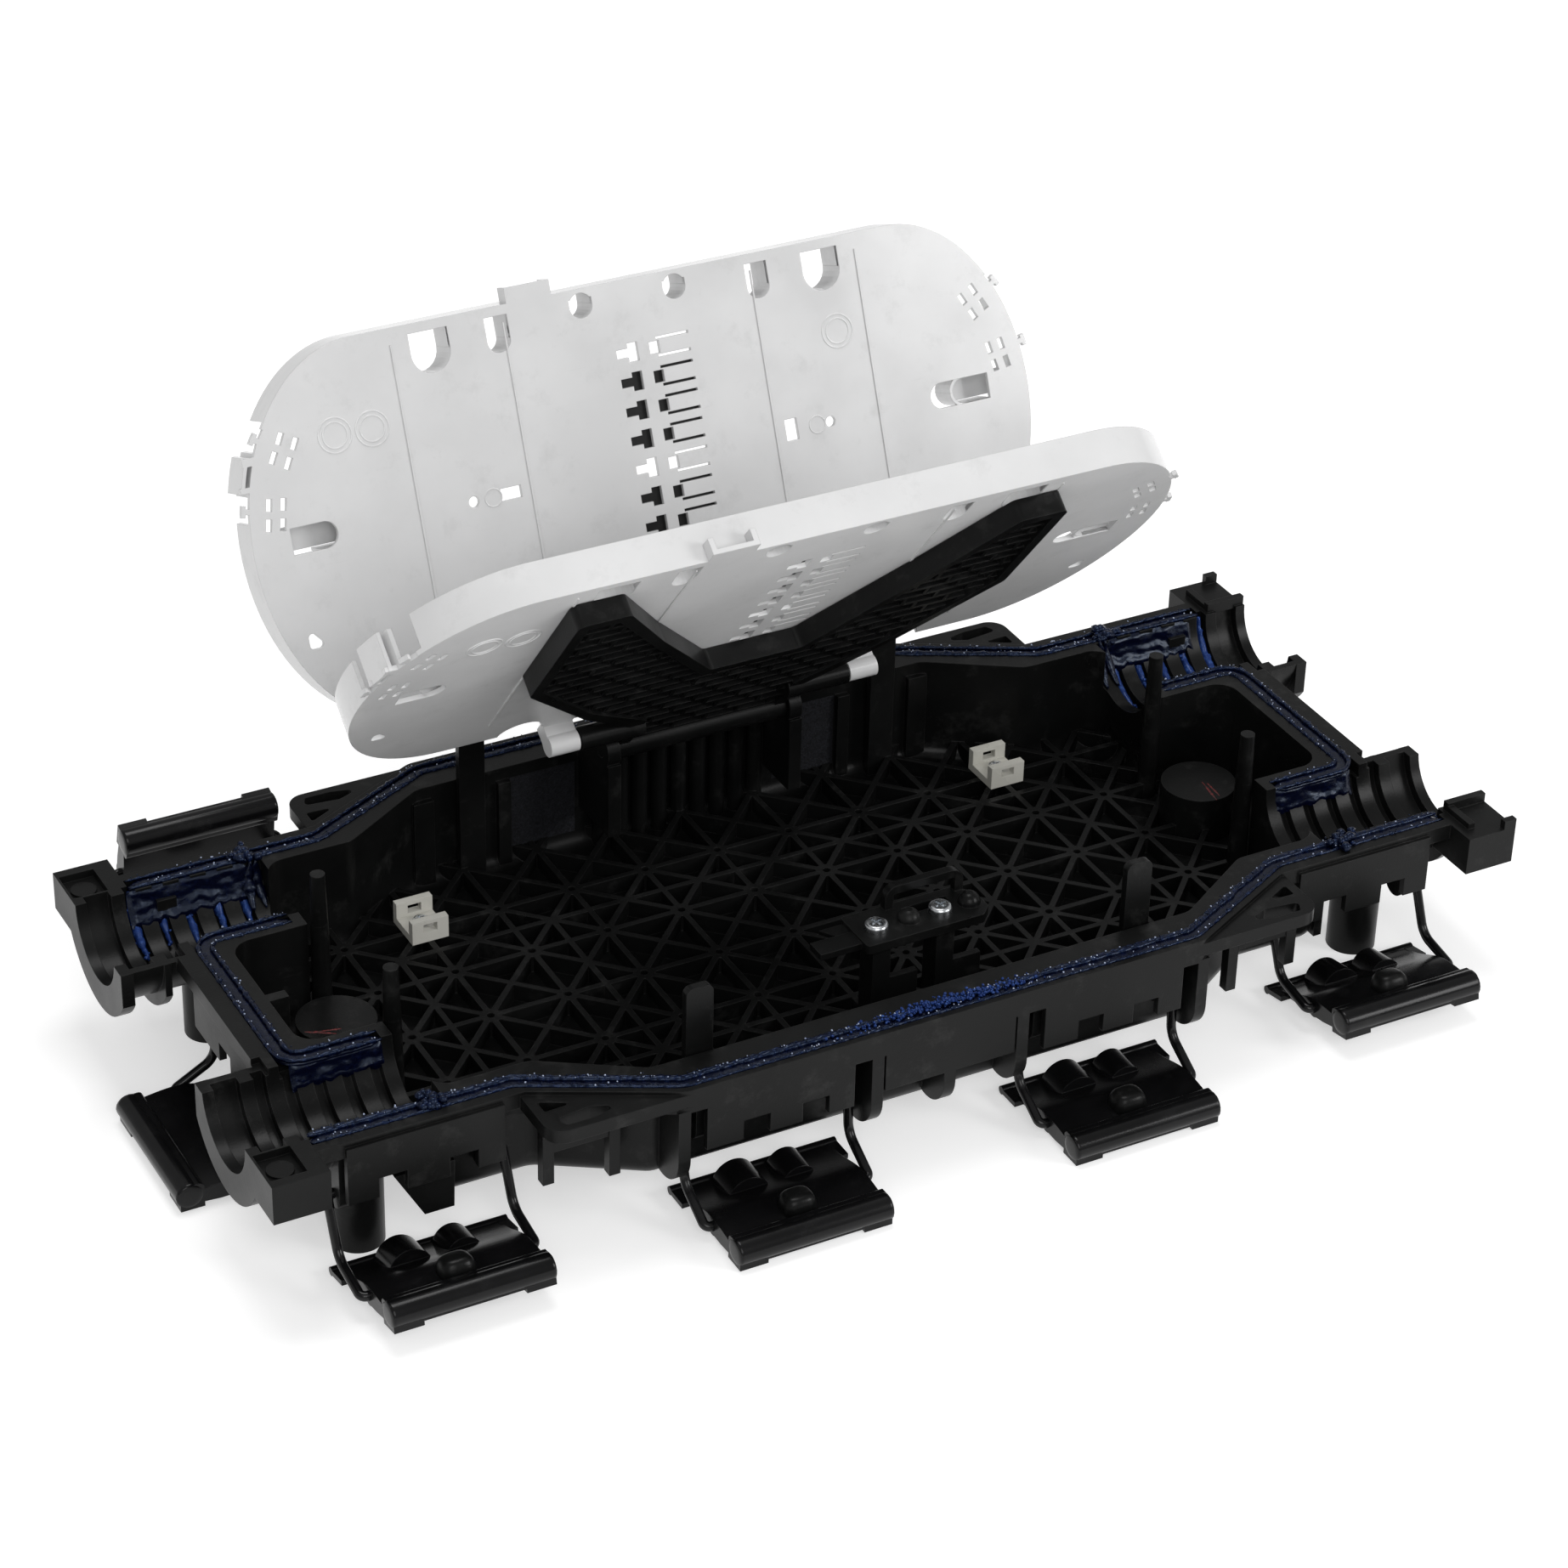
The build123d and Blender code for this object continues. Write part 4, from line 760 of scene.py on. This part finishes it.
def lever_grips():
    """The rounded grip along each lever's bar."""
    for name, place, turn, bail, lever in latch_table():
        axes = lever_frame(place, turn, bail, lever)
        mesh = Mesh()
        mesh.tube([[axes @ Vector((x * GRIP_HALF, GRIP_Y + GRIP_RADIUS_Y * share * cos(a),
                                   GRIP_Z + GRIP_RADIUS_Z * share * sin(a)))
                    for a in angles(GRIP_SIDES)] for x, share in GRIP_PROFILE])
        made = mesh.piece(name + "_grip", SLOTS["lever_plastic"], name + "_handle")


def lever_domes():
    """The squarish dome in front of the finger lobes, on the levers that show it."""
    power = DOME_SQUARENESS
    last = DOME_LEVELS - 1
    for name, place, turn, bail, lever in latch_table():
        if name in DOMELESS:
            continue
        axes = lever_frame(place, turn, bail, lever)
        mesh = Mesh()
        rings = []
        for k in range(DOME_LEVELS):
            rise = k / last * pi / 2
            size = cos(rise) ** DOME_SHOULDER if k < last else DOME_TIP
            level = []
            for a in angles(DOME_SIDES):
                r = size / (abs(cos(a)) ** power + abs(sin(a)) ** power) ** (1 / power)
                level.append(axes @ Vector((DOME_RADIUS_X * r * cos(a),
                                            DOME_Y + DOME_RADIUS_Y * r * sin(a),
                                            DOME_Z + DOME_RISE * sin(rise))))
            rings.append(level)
        mesh.tube(rings)
        made = mesh.piece(name + "_dome", SLOTS["shell_plastic"], name + "_handle")


long_seal(-1, "gel_front", 3.0)
long_seal(1, "gel_rear", 5.0)
end_seal(-1, "gel_left_end", 7.0)
end_seal(1, "gel_right_end", 8.0)
port_gel(-1, 1, "gel_port_left_rear", 21, (WIDE_SHEET, FAR_SHEET), GEL_BRIGHT, 80)
port_gel(1, 1, "gel_port_right_rear", 22, (NARROW_SHEET, FAR_SHEET), GEL_BRIGHT, 84)
port_gel(-1, -1, "gel_port_left_front", 23, LIP_SHEETS, GEL, 48)
port_gel(1, -1, "gel_port_right_front", 24, LIP_SHEETS, GEL, 48)
gel_heap()
lever_grips()
lever_domes()
pen_marks()
tray_wells()
tray_rings()
stipple_panels()


# Studio

FLOOR_HALF = 30.0
WORLD_STRENGTH = 0.42
# Square lights: name, place, target, side and power
LIGHTS = (("key", (-0.7, -1.9, 1.5), (0, 0, 0.05), 1.3, 17),
          ("right", (1.6, -1.6, 1.1), (0, 0, 0.1), 0.9, 20),
          ("top", (0.1, 0.4, 2.1), (0, 0, 0.05), 0.9, 15))


def studio_floor():
    """A plain floor that glows a little, so that it stays nearly white round the part."""
    material, _, _, bsdf = new_material("floor_white")
    bsdf.inputs["Base Color"].default_value = (0.70, 0.70, 0.70, 1)
    bsdf.inputs["Roughness"].default_value = 0.8
    bsdf.inputs["Specular IOR Level"].default_value = 0.1
    bsdf.inputs["Emission Color"].default_value = (1, 1, 1, 1)
    bsdf.inputs["Emission Strength"].default_value = 0.50
    mesh = bpy.data.meshes.new("floor")
    s = FLOOR_HALF
    mesh.from_pydata([(-s, -s, 0), (s, -s, 0), (s, s, 0), (-s, s, 0)], [], [(0, 1, 2, 3)])
    floor = bpy.data.objects.new("floor", mesh)
    floor.data.materials.append(material)
    bpy.context.scene.collection.objects.link(floor)


def area_light(name, place, target, size, power):
    data = bpy.data.lights.new(name, "AREA")
    data.shape = "SQUARE"
    data.size = size
    data.energy = power
    lamp = bpy.data.objects.new(name, data)
    lamp.location = place
    aim = Vector(target) - Vector(place)
    lamp.rotation_euler = aim.to_track_quat("-Z", "Y").to_euler()
    bpy.context.scene.collection.objects.link(lamp)


def studio():
    studio_floor()
    world = bpy.data.worlds.new("studio")
    world.use_nodes = True
    background = world.node_tree.nodes["Background"]
    background.inputs["Color"].default_value = (1, 1, 1, 1)
    background.inputs["Strength"].default_value = WORLD_STRENGTH
    bpy.context.scene.world = world
    for light in LIGHTS:
        area_light(*light)


def camera():
    """The camera where the photo was taken from."""
    right = Vector((cos(YAW), -sin(YAW), 0))
    forward = Vector((sin(YAW) * cos(PITCH), cos(YAW) * cos(PITCH), -sin(PITCH)))
    down = forward.cross(right)
    x_axis = cos(ROLL) * right + sin(ROLL) * down
    y_axis = sin(ROLL) * right - cos(ROLL) * down
    matrix = Matrix((x_axis, y_axis, -forward)).transposed().to_4x4()
    matrix.translation = Vector((CAMERA_MM[0], CAMERA_MM[1], CAMERA_MM[2] + RIM)) * MM
    data = bpy.data.cameras.new("camera")
    data.sensor_width = SENSOR_MM
    data.lens = SENSOR_MM * FOCAL_PX / PHOTO_SIZE
    data.clip_end = CLIP_END
    cam = bpy.data.objects.new("camera", data)
    cam.matrix_world = matrix
    bpy.context.scene.collection.objects.link(cam)
    bpy.context.scene.camera = cam


studio()
camera()
scene = bpy.context.scene
scene.view_settings.view_transform = "Standard"
scene.view_settings.look = "None"
scene.view_settings.exposure = 0.0
